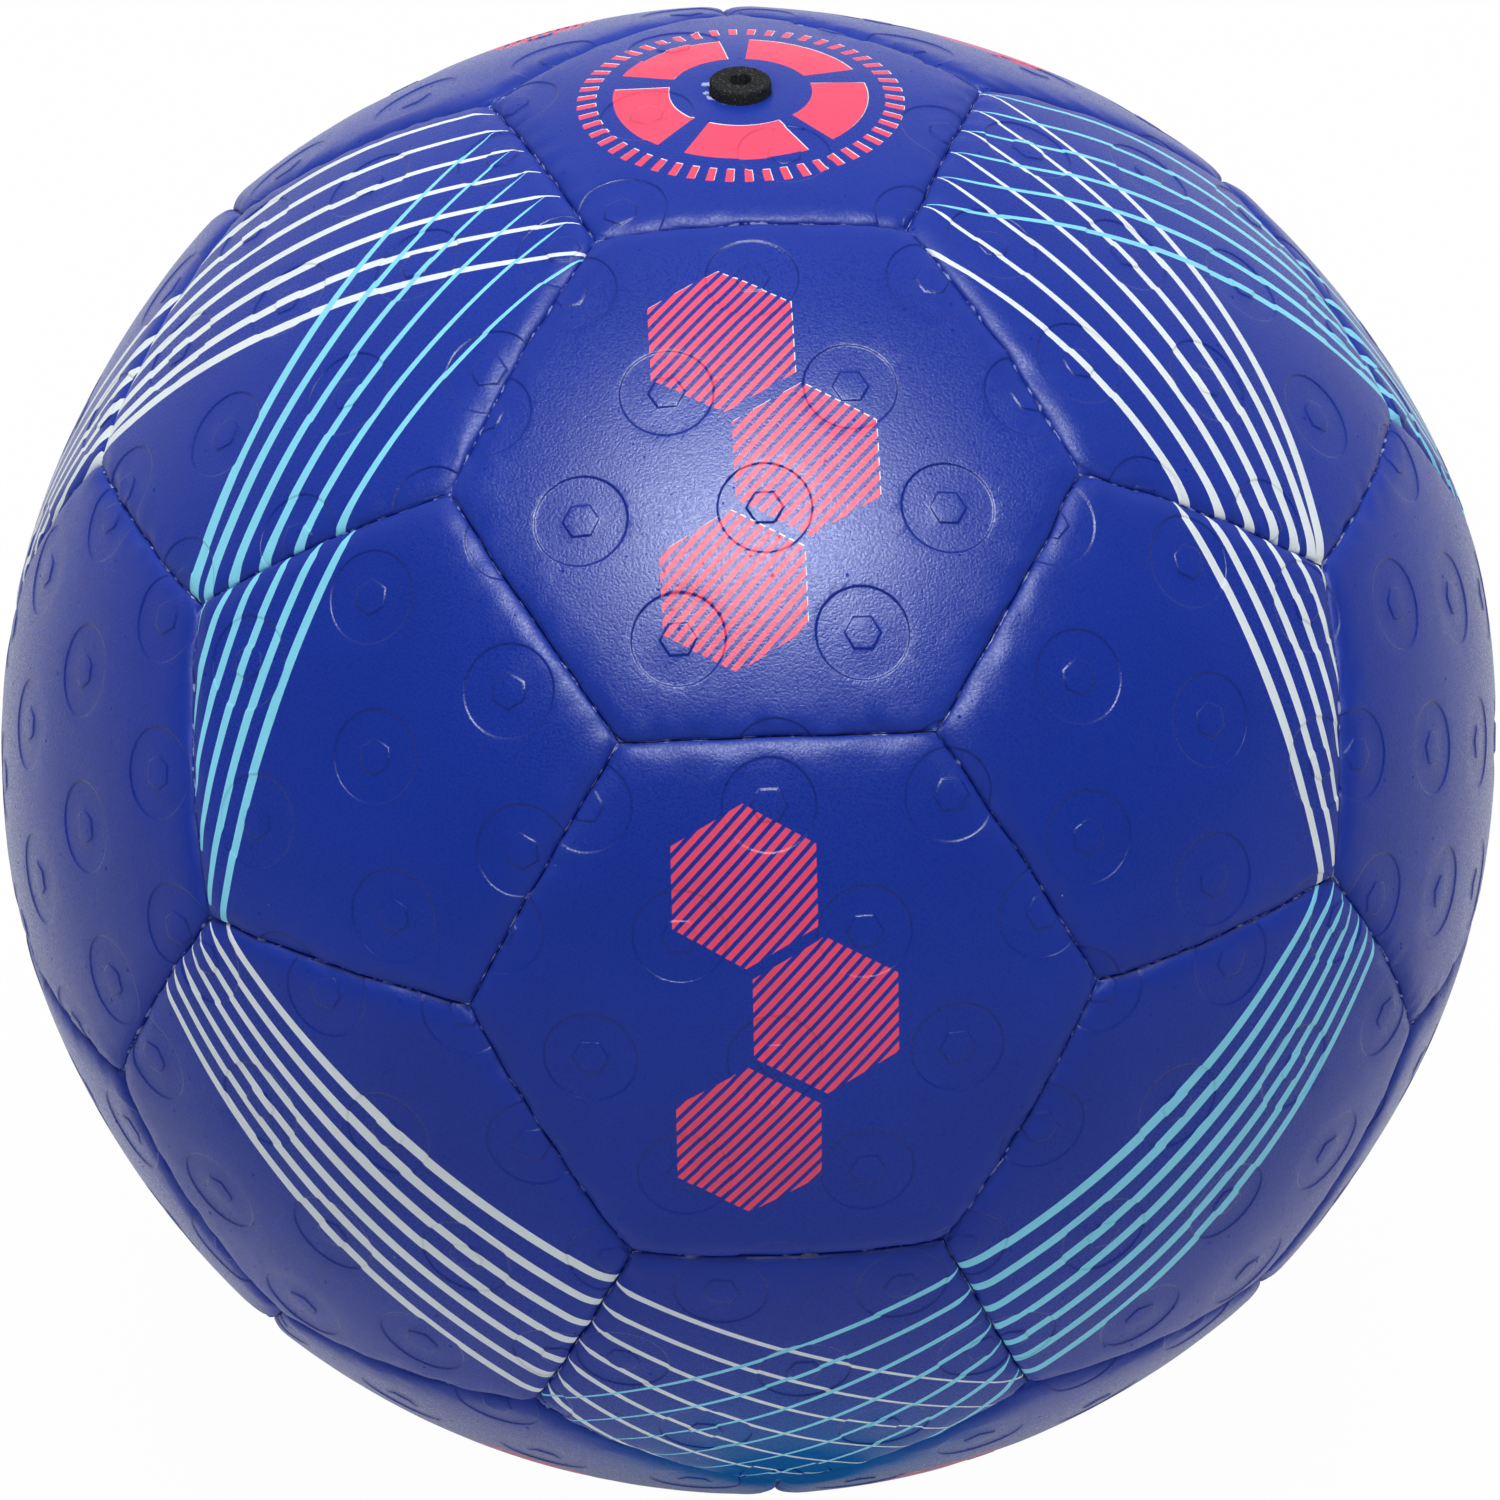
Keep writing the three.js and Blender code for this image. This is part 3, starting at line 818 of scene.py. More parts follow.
def on_panel(labels):
    """Whether a triangle with these labels is leather, and not beside the panel or in its hole."""
    return "panel" in labels and "hole" not in labels


def rim_loops(faces):
    """Closed loops of the edges that only one face has, each in the order of its faces."""
    ways = {(a, b) for face in faces for a, b in zip(face, [*face[1:], face[0]])}
    following = {a: b for a, b in ways if (b, a) not in ways}
    loops = []
    while following:
        start, point = following.popitem()
        loop = [start]
        while point != start:
            loop.append(point)
            point = following.pop(point)
        loops.append(loop)
    return sorted(loops, key=len, reverse=True)


def printed_face(panel, face, sizes, prints):
    """Directions of the points of a panel's outer face, its triangles and the ink on each."""
    drawn, faces, labels, _ = draw_panel(panel, face, sizes, prints).triangles()
    outer = [(tri, ink_of(found)) for tri, found in zip(faces, labels) if on_panel(found)]
    used = sorted({point for tri, _ in outer for point in tri})
    number = {point: i for i, point in enumerate(used)}
    triangles = [tuple(number[point] for point in tri) for tri, _ in outer]
    return panel.unproject(drawn[used]), triangles, [ink for _, ink in outer]


def cloth_back(panel, directions, loops, below):
    """Triangles of the lining, from the points below the rims, and directions of the points that it adds."""
    outline, *holes = loops
    turning_left = [outline, *(hole[::-1] for hole in holes)]
    drawing = Drawing()
    for loop, label in zip(turning_left, ("panel", "hole")):
        drawing.area(panel.project(directions[loop]), label)
    rim = [below[point] for loop in turning_left for point in loop]
    grid = triangle_grid(GRID_REACH, LINING_SPACING)
    kept = panel.inside(panel.lay(grid)) > LINING_INSET
    kept &= np.linalg.norm(grid, axis=1) > LINING_HOLE
    drawing.dots(panel.trace(grid[kept]))

    points, faces, labels, sources = drawing.triangles()
    first_added = max(rim) + 1
    number = []
    added = []
    for point, found in zip(points, sources):
        on_rim = [source for source in found if source < len(rim)]
        if on_rim:
            number.append(rim[on_rim[0]])
        else:
            number.append(first_added + len(added))
            added.append(point)
    lined = [tri for tri, found in zip(faces, labels) if on_panel(found)]
    return [tuple(number[point] for point in reversed(tri)) for tri in lined], panel.unproject(added)


def panel_piece(panel, sizes, emboss, prints, materials, random):
    """A closed mesh of one panel: pressed and printed face, folded edge and cloth lining."""
    face = Face(panel, sizes, emboss, random)
    directions, outer, inks = printed_face(panel, face, sizes, prints)
    points, normals = face.points_and_normals(directions)
    loops = rim_loops(outer)
    rim = [point for loop in loops for point in loop]
    below = {point: len(points) + i for i, point in enumerate(rim)}
    walls = [(after, point, below[point], below[after])
             for loop in loops for point, after in zip(loop, loop[1:] + loop[:1])]
    lining, added = cloth_back(panel, directions, loops, below)

    inner_radius = BALL_RADIUS - sizes.thickness
    all_points = np.concatenate([points, directions[rim] * inner_radius, added * inner_radius])
    mesh = bpy.data.meshes.new(f"{panel.name}_leather")
    mesh.from_pydata(all_points * MM, [], outer + walls + lining)
    slots = inks + [LEATHER] * len(walls) + [LINING] * len(lining)
    mesh.polygons.foreach_set("material_index", slots)
    marks = {
        "fold": face.edge_closeness(directions),
        # Painted shade: the roundels' pressed grooves are darkened in the colour
        "groove_shade": face.roundels.groove_shading(panel.sheet(directions)),
        # Painted reflection: a teal patch on the underside by the floor
        "fade": np.minimum(PAINTED_REFLECTION_STRENGTH * patch(directions, *PAINTED_REFLECTION_PATCH), 1),
    }
    for mark, values in marks.items():
        shares = np.zeros(len(mesh.vertices))
        shares[:len(points)] = values
        mesh.attributes.new(mark, "FLOAT", "POINT").data.foreach_set("value", shares)
    mesh.shade_smooth()
    mesh.normals_split_custom_set_from_vertices(np.concatenate([normals, normals[rim], -added]))
    for material in materials:
        mesh.materials.append(material)
    add_piece(mesh, "ball", "pu_leather", panel.name)


def new_object(name, data):
    """An object in the scene that shows a mesh, a lamp or a lens."""
    holder = bpy.data.objects.new(name, data)
    bpy.context.scene.collection.objects.link(holder)
    return holder


def add_piece(mesh, body, slot, *nodes):
    """Put a mesh in the scene as a piece that stands for solid parts and moves with a body."""
    piece = new_object(mesh.name, mesh)
    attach(piece, body)
    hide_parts(*nodes)


# Turned pieces

# Points of a profile closer to the axis than this lie on it
ON_AXIS = 1e-6
# A straight cut trims only what lies within this cosine of its way
CUT_COSINE = 0.1
SHARP_EDGE = math.radians(50)


def arc(radius, start, end, steps):
    """Points of an arc round the middle of the ball, as radius and height."""
    angles = np.linspace(start, end, steps + 1)
    return [(radius * math.cos(angle), radius * math.sin(angle)) for angle in angles]


def rounded(profile, steps=4):
    """A profile with its corners rounded; a corner's third value is how far its rounding reaches."""
    softened = []
    for i, corner in enumerate(profile):
        place = np.array(corner[:2])
        if len(corner) < 3:
            softened.append(tuple(place))
            continue
        radius = corner[2]
        before = np.array(profile[i - 1][:2]) - place
        after = np.array(profile[(i + 1) % len(profile)][:2]) - place
        start = place + unit(before) * radius
        end = place + unit(after) * radius
        for share in np.linspace(0, 1, steps + 1):
            bent = start * (1 - share) ** 2 + place * 2 * share * (1 - share) + end * share ** 2
            softened.append(tuple(bent))
    return softened


def turned_mesh(name, profile, segments, material, roughness=0.0, closed=False, cuts=()):
    """A profile of radius and height turned round the valve axis, with a little random roughness.

    A cut is the way and the distance from the axis at which a knife has trimmed it straight.
    """
    random = np.random.default_rng(SEED)
    points = []
    rings = []
    for radius, height in profile:
        if radius < ON_AXIS:
            rings.append([len(points)] * segments)
            points.append((0.0, 0.0, height))
            continue
        rings.append(list(range(len(points), len(points) + segments)))
        angles = np.arange(segments) * 2 * math.pi / segments
        bumps = radius + roughness * random.normal(size=segments)
        for way, distance in cuts:
            bumps = np.minimum(bumps, distance / np.maximum(np.cos(angles - way), CUT_COSINE))
        lifts = height + roughness * random.normal(size=segments)
        points.extend(zip(bumps * np.cos(angles), bumps * np.sin(angles), lifts))
    pairs = list(zip(rings, rings[1:]))
    if closed:
        pairs.append((rings[-1], rings[0]))
    faces = []
    for lower, upper in pairs:
        for i in range(segments):
            j = (i + 1) % segments
            corners = [lower[i], lower[j], upper[j], upper[i]]
            face = [corner for k, corner in enumerate(corners) if corner not in corners[:k]]
            if len(face) > 2:
                faces.append(face)
    mesh = bpy.data.meshes.new(name)
    mesh.from_pydata(np.array(points) * MM, [], faces)
    mesh.shade_smooth()
    mesh.set_sharp_from_angle(angle=SHARP_EDGE)
    mesh.materials.append(material)
    return mesh


# Materials


def feed(tree, node, inputs):
    """Give a node its inputs; each is a value or the socket that feeds it."""
    for key, value in inputs.items():
        if isinstance(value, bpy.types.NodeSocket):
            tree.links.new(value, node.inputs[key])
        else:
            node.inputs[key].default_value = value


def add_node(tree, kind, inputs=None, **settings):
    """Add a node with its settings and its inputs."""
    node = tree.nodes.new(kind)
    for key, value in settings.items():
        setattr(node, key, value)
    feed(tree, node, inputs or {})
    return node


def new_material(name, **shading):
    """A material with its shader's own settings; returns it, its tree, the shader and places on the piece."""
    material = bpy.data.materials.new(name)
    material.use_nodes = True
    tree = material.node_tree
    shader = tree.nodes["Principled BSDF"]
    feed(tree, shader, {key.replace("_", " "): value for key, value in shading.items()})
    place = add_node(tree, "ShaderNodeTexCoord").outputs["Object"]
    return material, tree, shader, place


def shaded(colour, share):
    """A colour made darker or lighter, with full cover."""
    return (*[min(1.0, channel * share) for channel in colour], 1.0)


def scattered(tree, place, spacing, largest):
    """A mask of round specks of random size; the largest is a share of their spacing."""
    bare_share = 0.25
    cells = add_node(tree, "ShaderNodeTexVoronoi", {"Vector": place, "Scale": 1 / spacing}).outputs
    size = add_node(tree, "ShaderNodeMapRange", {
        "Value": cells["Color"], "From Min": bare_share, "To Max": largest}).outputs["Result"]
    return add_node(tree, "ShaderNodeMath", {
        0: size, 1: cells["Distance"]}, operation="GREATER_THAN").outputs[0]


def tone_and_relief(tree, shader, share, dark, light, relief, depth):
    """Feed a shader a colour between two tones and the bumps of a relief."""
    tone = add_node(tree, "ShaderNodeMix", {0: share, 6: dark, 7: light}, data_type="RGBA").outputs[2]
    bump = add_node(tree, "ShaderNodeBump", {"Height": relief, "Distance": depth}).outputs["Normal"]
    feed(tree, shader, {"Base Color": tone, "Normal": bump})


def coated_leather(name, colour, roughness, wear_and_painted_light):
    """Polyurethane-coated leather, pressed with a fine grain: a soft sheen, stronger at a flat angle.

    The grain and its pits break the sheen, and folds are duller. Worn leather has lint and pale scuffs on its
    folds.
    It also gets painted light: a painted teal reflection on the underside by the floor, where the sheen is
    taken away, and a deeper painted shade in the roundels' grooves than the inks get. The grain is drawn
    somewhat coarser than the real one, so that it shows.
    """
    grain_size, blotch_size, scuff_size = 0.3 * MM, 22 * MM, 1.2 * MM
    grain_depth, grain_roughness, fold_roughness = 0.045 * MM, 0.1, 0.25
    dark_blotch, pale_blotch, crease_shade = 0.85, 1.12, 0.68 if wear_and_painted_light else 0.85
    face_sheen, edge_sheen = 0.18, 0.5
    pit_spacing, pit_share = 1.7 * MM, 0.15
    lint_spacing, lint_share = 4.5 * MM, 0.03
    # reflected_teal colours the painted reflection on the underside; pale colours the lint and the scuffs
    reflected_teal, pale = shaded(linear("#1c64a8"), 1), shaded(linear("#a9b4de"), 1)
    material, tree, shader, place = new_material(name, IOR=1.46, Specular_IOR_Level=0.3)
    cloudy = {"Vector": place, "Detail": 2.0, "Roughness": 0.55}
    grain = add_node(tree, "ShaderNodeTexNoise", {**cloudy, "Scale": 1 / grain_size}).outputs["Fac"]
    blotches = add_node(tree, "ShaderNodeTexNoise", {**cloudy, "Scale": 1 / blotch_size}).outputs["Fac"]
    fold = add_node(tree, "ShaderNodeAttribute", attribute_name="fold").outputs["Fac"]
    # Painted shade in the roundels' grooves, strongest at the middle of each slope
    groove_shade = add_node(tree, "ShaderNodeAttribute", attribute_name="groove_shade").outputs["Fac"]
    dull = scattered(tree, place, pit_spacing, pit_share)

    layers = [(blotches, shaded(colour, pale_blotch))]
    if wear_and_painted_light:
        # Painted reflection: the teal patch on the underside by the floor, which also loses its sheen
        fade = add_node(tree, "ShaderNodeAttribute", attribute_name="fade").outputs["Fac"]
        dull = add_node(tree, "ShaderNodeMath", {0: dull, 1: fade}, operation="MAXIMUM").outputs[0]
        lint = scattered(tree, place, lint_spacing, lint_share)
        scuffs = add_node(tree, "ShaderNodeTexNoise", {**cloudy, "Scale": 1 / scuff_size}).outputs["Fac"]
        rubbed = add_node(tree, "ShaderNodeMath", {0: scuffs, 1: fold}, operation="MULTIPLY").outputs[0]
        scuffed = add_node(tree, "ShaderNodeMapRange", {
            "Value": rubbed, "From Min": 0.5, "From Max": 0.58}).outputs["Result"]
        layers += [(fade, reflected_teal), (lint, pale), (scuffed, pale)]
    # Painted shade: the grooves are darkened to crease_shade of the colour, less on the inks than on the
    # leather
    layers.append((groove_shade, shaded(colour, crease_shade)))
    tone = shaded(colour, dark_blotch)
    for share, over in layers:
        tone = add_node(tree, "ShaderNodeMix", {0: share, 6: tone, 7: over}, data_type="RGBA").outputs[2]

    flat_angle = add_node(tree, "ShaderNodeLayerWeight", {"Blend": 0.5}).outputs["Facing"]
    gloss = add_node(tree, "ShaderNodeMapRange", {
        "Value": flat_angle, "From Min": 0.62, "From Max": 0.95,
        "To Min": face_sheen, "To Max": edge_sheen}).outputs["Result"]
    unbroken = add_node(tree, "ShaderNodeMath", {0: 1.0, 1: dull}, operation="SUBTRACT").outputs[0]
    sheen = add_node(tree, "ShaderNodeMath", {0: gloss, 1: unbroken}, operation="MULTIPLY").outputs[0]
    bent = add_node(tree, "ShaderNodeMath", {0: fold, 1: 0.2}, operation="POWER").outputs[0]
    uneven = add_node(tree, "ShaderNodeMapRange", {
        "Value": grain, "From Min": 0.3, "From Max": 0.7,
        "To Min": roughness - grain_roughness, "To Max": roughness + grain_roughness}).outputs["Result"]
    rough = add_node(tree, "ShaderNodeMath", {
        0: bent, 1: fold_roughness, 2: uneven}, operation="MULTIPLY_ADD").outputs[0]
    bump = add_node(tree, "ShaderNodeBump", {"Height": grain, "Distance": grain_depth}).outputs["Normal"]
    feed(tree, shader, {"Base Color": tone, "Specular IOR Level": sheen, "Roughness": rough, "Normal": bump})
    return material


def woven_lining(colour):
    """Cotton lining cloth glued to the panels' backs: a plain weave of half-millimetre yarns, quite matt."""
    yarn, relief = 0.5 * MM, 0.1 * MM
    # A wave texture of scale one has a band every tenth of pi
    bands = math.pi / (10 * yarn)
    material, tree, shader, place = new_material("cotton_lining", Roughness=0.95, IOR=1.45)
    warp, weft = (
        add_node(tree, "ShaderNodeTexWave", {
            "Vector": place, "Scale": bands}, bands_direction=axis).outputs["Fac"]
        for axis in ("X", "Y"))
    weave = add_node(tree, "ShaderNodeMath", {0: warp, 1: weft}, operation="MULTIPLY").outputs[0]
    tone_and_relief(tree, shader, weave, shaded(colour, 0.7), shaded(colour, 1.0), weave, relief)
    return material


def waxed_thread(colour):
    """Twisted polyester sewing thread with wax on it: pale and matt, greyed by fine fibres."""
    fibre, relief = 0.3 * MM, 0.05 * MM
    material, tree, shader, place = new_material("waxed_polyester_thread", Roughness=0.7, IOR=1.5)
    fibres = add_node(tree, "ShaderNodeTexNoise", {
        "Vector": place, "Scale": 1 / fibre, "Detail": 2.0}).outputs["Fac"]
    tone_and_relief(tree, shader, fibres, shaded(colour, 0.45), shaded(colour, 1.1), fibres, relief)
    return material


def cut_rubber(colour):
    """Black valve rubber, moulded and trimmed: matt, coarse to the touch, with grey dust in its pores."""
    pore, dust_size, relief = 0.35 * MM, 0.25 * MM, 0.12 * MM
    grey = shaded(linear("#5c5b58"), 1)
    material, tree, shader, place = new_material(
        "moulded_black_rubber", Roughness=0.9, IOR=1.4, Specular_IOR_Level=0.25)
    pores = add_node(tree, "ShaderNodeTexNoise", {
        "Vector": place, "Scale": 1 / pore, "Detail": 4.0, "Roughness": 0.65}).outputs["Fac"]
    specks = add_node(tree, "ShaderNodeTexNoise", {
        "Vector": place, "Scale": 1 / dust_size, "Detail": 1.0}).outputs["Fac"]
    dust = add_node(tree, "ShaderNodeMapRange", {
        "Value": specks, "From Min": 0.6, "From Max": 0.78}).outputs["Result"]
    tone_and_relief(tree, shader, dust, shaded(colour, 1.0), grey, pores, relief)
    return material


def dipped_latex(colour):
    """Dipped natural latex: a thin warm skin with cloudy patches, smooth and half matt."""
    cloud, relief = 12 * MM, 0.2 * MM
    material, tree, shader, place = new_material("dipped_latex", Roughness=0.5, IOR=1.52)
    clouds = add_node(tree, "ShaderNodeTexNoise", {
        "Vector": place, "Scale": 1 / cloud, "Detail": 3.0}).outputs["Fac"]
    tone_and_relief(tree, shader, clouds, shaded(colour, 0.75), shaded(colour, 1.1), clouds, relief)
    return material


# Stitches

STITCH_INPUTS = {
    "Geometry": "NodeSocketGeometry",
    **dict.fromkeys(("Thread", "Pitch", "Stitch", "Reach", "Lowest", "Highest"), "NodeSocketFloat"),
    "Material": "NodeSocketMaterial",
}
# The bow of a stitch, as shares of its length, its reach to each side and the thread
STITCH_BOW = {"Start": (-0.5, -1, -0.5), "Middle": (0, 0, 0.5), "End": (0.5, 1, -0.5)}
# A seam is drawn in this many steps, from this share of its length to as much before its end
SEAM_STEPS = 12
SEAM_END = 0.02


def stitch_tree():
    """Geometry nodes that lay a running thread along seam lines and set slanting stitches over it."""
    tree = bpy.data.node_groups.new("Seam stitches", "GeometryNodeTree")
    for name, kind in STITCH_INPUTS.items():
        tree.interface.new_socket(name, in_out="INPUT", socket_type=kind)
    tree.interface.new_socket("Geometry", in_out="OUTPUT", socket_type="NodeSocketGeometry")
    sizes = add_node(tree, "NodeGroupInput").outputs

    radius = add_node(tree, "ShaderNodeMath", {0: sizes["Thread"], 1: 0.5}, operation="MULTIPLY").outputs[0]
    section = add_node(tree, "GeometryNodeCurvePrimitiveCircle", {
        "Resolution": 6, "Radius": radius}).outputs["Curve"]
    seams = add_node(tree, "GeometryNodeMeshToCurve", {"Mesh": sizes["Geometry"]}).outputs["Curve"]
    running = add_node(tree, "GeometryNodeCurveToMesh", {
        "Curve": seams, "Profile Curve": section, "Fill Caps": True}).outputs["Mesh"]

    span = add_node(tree, "ShaderNodeCombineXYZ", {
        "X": sizes["Stitch"], "Y": sizes["Reach"], "Z": sizes["Thread"]}).outputs[0]
    bow = {"Resolution": 4}
    for end, shares in STITCH_BOW.items():
        bow[end] = add_node(tree, "ShaderNodeVectorMath", {
            0: span, 1: shares}, operation="MULTIPLY").outputs[0]
    spine = add_node(tree, "GeometryNodeCurveQuadraticBezier", bow).outputs["Curve"]
    stitch = add_node(tree, "GeometryNodeCurveToMesh", {
        "Curve": spine, "Profile Curve": section, "Fill Caps": True}).outputs["Mesh"]

    points = add_node(tree, "GeometryNodeResampleCurve", {
        "Curve": seams, "Length": sizes["Pitch"]}, mode="LENGTH").outputs["Curve"]
    outward = add_node(tree, "GeometryNodeInputPosition").outputs[0]
    along = add_node(tree, "GeometryNodeInputTangent").outputs[0]
    height = add_node(tree, "FunctionNodeRandomValue", {
        2: sizes["Lowest"], 3: sizes["Highest"], "Seed": SEED}, data_type="FLOAT").outputs[1]
    way = add_node(tree, "ShaderNodeVectorMath", {0: outward}, operation="NORMALIZE").outputs[0]
    raised = add_node(tree, "ShaderNodeVectorMath", {0: way, "Scale": height}, operation="SCALE").outputs[0]
    points = add_node(tree, "GeometryNodeSetPosition", {
        "Geometry": points, "Position": raised}).outputs["Geometry"]
    stand = add_node(tree, "FunctionNodeAlignRotationToVector", {"Vector": outward}, axis="Z").outputs[0]
    turn = add_node(tree, "FunctionNodeAlignRotationToVector", {
        "Rotation": stand, "Vector": along}, axis="X", pivot_axis="Z").outputs[0]
    stitches = add_node(tree, "GeometryNodeInstanceOnPoints", {
        "Points": points, "Instance": stitch, "Rotation": turn}).outputs["Instances"]

    joined = add_node(tree, "GeometryNodeJoinGeometry")
    tree.links.new(running, joined.inputs[0])
    tree.links.new(stitches, joined.inputs[0])
    real = add_node(tree, "GeometryNodeRealizeInstances", {"Geometry": joined.outputs[0]}).outputs[0]
    smooth = add_node(tree, "GeometryNodeSetShadeSmooth", {"Geometry": real}).outputs[0]
    dressed = add_node(tree, "GeometryNodeSetMaterial", {
        "Geometry": smooth, "Material": sizes["Material"]}).outputs[0]
    add_node(tree, "NodeGroupOutput", {"Geometry": dressed})
    return tree


def seam_lines(radius):
    """A mesh of lines along every seam, each seam once and apart from its neighbours."""
    seams = {}
    for panel in ball_net():
        for start, end in zip(panel.corners, np.roll(panel.corners, -1, axis=0)):
            key = frozenset((tuple(np.round(start, 4)), tuple(np.round(end, 4))))
            seams.setdefault(key, (start, end))
    points = []
    edges = []
    for start, end in seams.values():
        first = len(points)
        along = np.linspace(SEAM_END, 1 - SEAM_END, SEAM_STEPS + 1)[:, None]
        points.extend(unit(start + along * (end - start)) * radius)
        edges.extend((first + i, first + i + 1) for i in range(SEAM_STEPS))
    mesh = bpy.data.meshes.new("seam_lines")
    mesh.from_pydata(np.array(points) * MM, edges, [])
    return mesh


def stitched_mesh(sizes, material):
    """The seams' thread and stitches as one plain mesh."""
    tree = stitch_tree()
    seams = new_object("seam_lines", seam_lines(BALL_RADIUS - sizes.depth))
    modifier = seams.modifiers.new("Stitches", "NODES")
    modifier.node_group = tree
    values = {
        "Thread": sizes.thread * MM, "Pitch": sizes.pitch * MM, "Stitch": sizes.stitch * MM,
        "Reach": sizes.reach * MM, "Lowest": (BALL_RADIUS - sizes.lowest) * MM,
        "Highest": (BALL_RADIUS - sizes.highest) * MM, "Material": material,
    }
    for socket in tree.interface.items_tree:
        if socket.in_out == "INPUT" and socket.name in values:
            modifier[socket.identifier] = values[socket.name]
    graph = bpy.context.evaluated_depsgraph_get()
    mesh = bpy.data.meshes.new_from_object(seams.evaluated_get(graph))
    mesh.name = "seam_stitches"
    bpy.data.objects.remove(seams)
    return mesh


# Operators

# Where the plug's head was trimmed by knife: way round the valve axis and distance from it in millimetres
TRIM_CUTS = [(math.radians(48), 3.15), (math.radians(200), 3.38), (math.radians(290), 3.4)]
# Rings of points on the side of the plug's head, as heights above the ball, and how rough its rubber is
HEAD_RINGS = (-1, 0, 0.4)
PLUG_ROUGHNESS = 0.03
# How finely the turned pieces are divided, round the axis and along their arcs
TURNED_SEGMENTS = 96
PLUG_SEGMENTS = 72
BLADDER_STEPS = 48
DOME_STEPS = 12


class HANDBALL_OT_panels(bpy.types.Operator):
    """Press, print and fold the 32 leather panels"""

    bl_idname = "handball.sew_panels"
    bl_label = "Sew Panels"

    def execute(self, context):
        scene = context.scene
        colours = scene.handball_colours
        materials = [
            coated_leather("coated_leather_blue", colours.leather, roughness=0.3, wear_and_painted_light=True),
            coated_leather("screen_ink_white", colours.white_ink, roughness=0.4, wear_and_painted_light=False),
            coated_leather("screen_ink_aqua", colours.aqua_ink, roughness=0.4, wear_and_painted_light=False),
            coated_leather("screen_ink_coral", colours.coral_ink, roughness=0.4, wear_and_painted_light=False),
            woven_lining(colours.lining),
        ]
        sizes = millimetres(scene.handball_panels)
        emboss = millimetres(scene.handball_emboss)
        prints = millimetres(scene.handball_prints)
        for number, panel in enumerate(ball_net()):
            random = np.random.default_rng((SEED, number))
            panel_piece(panel, sizes, emboss, prints, materials, random)
        return {"FINISHED"}


class HANDBALL_OT_thread(bpy.types.Operator):
    """Lay the thread and the stitches along the seams"""

    bl_idname = "handball.stitch_seams"
    bl_label = "Stitch Seams"

    def execute(self, context):
        scene = context.scene
        material = waxed_thread(scene.handball_colours.thread)
        mesh = stitched_mesh(millimetres(scene.handball_thread), material)
        add_piece(mesh, "ball", "waxed_thread", "seam_thread")
        return {"FINISHED"}


class HANDBALL_OT_bladder(bpy.types.Operator):
    """Blow up the bladder inside the panels"""

    bl_idname = "handball.blow_bladder"
    bl_label = "Blow Up Bladder"

    def execute(self, context):
        scene = context.scene
        sizes = millimetres(scene.handball_valve)
        mouth = sizes.stem / 2 + sizes.housing_wall + 2 * sizes.clearance
        inside = BLADDER_RADIUS - sizes.bladder_wall
        foot = -math.pi / 2
        outer = arc(BLADDER_RADIUS, foot, math.acos(mouth / BLADDER_RADIUS), BLADDER_STEPS)
        inner = arc(inside, math.acos(mouth / inside), foot, BLADDER_STEPS)
        material = dipped_latex(scene.handball_colours.latex)
        mesh = turned_mesh("bladder_skin", outer + inner, TURNED_SEGMENTS, material)
        add_piece(mesh, "ball", "latex", "bladder")
        return {"FINISHED"}


class HANDBALL_OT_valve(bpy.types.Operator):
    """Mould the valve's sleeve and the plug that pulls out of it"""

    bl_idname = "handball.fit_valve"
    bl_label = "Fit Valve"

    def execute(self, context):
        scene = context.scene
        sizes = millimetres(scene.handball_valve)
        material = cut_rubber(scene.handball_colours.rubber)
        bore = sizes.stem / 2 + sizes.clearance
        neck = bore + sizes.housing_wall
        dome_radius = BLADDER_RADIUS - sizes.bladder_wall - 2 * sizes.clearance
        brim, collar = math.acos(FLANGE_RADIUS / dome_radius), math.acos(neck / dome_radius)
        dome = arc(dome_radius, brim, collar, DOME_STEPS)
        rim_foot = dome[0][1] - sizes.flange
        sleeve = [
            (bore, HOUSING_FOOT), (neck, HOUSING_FOOT), (neck, rim_foot), (FLANGE_RADIUS, rim_foot),
            *dome, (neck, HOUSING_TOP), (bore, HOUSING_TOP),
        ]
        mesh = turned_mesh("valve_sleeve", sleeve, TURNED_SEGMENTS, material, closed=True)
        add_piece(mesh, "ball", "black_rubber", "valve_housing")

        seat = PLUG_FOOT + sizes.stem_length
        stem = sizes.stem / 2
        needle = sizes.needle_bore / 2
        mouth = sizes.needle_mouth / 2
        edge = sizes.head_edge
        plug = rounded([
            (0, PLUG_FOOT), (stem, PLUG_FOOT, edge), (stem, seat), (PLUG_RADIUS, seat, edge),
            *((PLUG_RADIUS, BALL_RADIUS + height) for height in HEAD_RINGS),
            (PLUG_RADIUS, PLUG_TOP, edge), ((PLUG_RADIUS + mouth) / 2, PLUG_TOP), (mouth, PLUG_TOP, edge / 3),
            (needle, PLUG_TOP - sizes.lead_in), (needle, PLUG_FOOT + sizes.needle_wall),
            (0, PLUG_FOOT + sizes.needle_wall),
        ])
        mesh = turned_mesh(
            "valve_plug", plug, PLUG_SEGMENTS, material, roughness=PLUG_ROUGHNESS, cuts=TRIM_CUTS)
        add_piece(mesh, "valve_core", "black_rubber", "valve_core")
        return {"FINISHED"}


# The stage

# The camera's place as the photograph shows it: angles in degrees, distance in ball radii
VIEW_AZIMUTH = -2.80
VIEW_ELEVATION = 30.95
VIEW_ROLL = -0.55
VIEW_DISTANCE = 15.737
# The picture's size, the ball's middle in it and the focal length, in pixels
FRAME_PIXELS = 1500
BALL_PIXELS = (746.7, 748.3)
FOCAL_PIXELS = 11717
SENSOR = 36.0
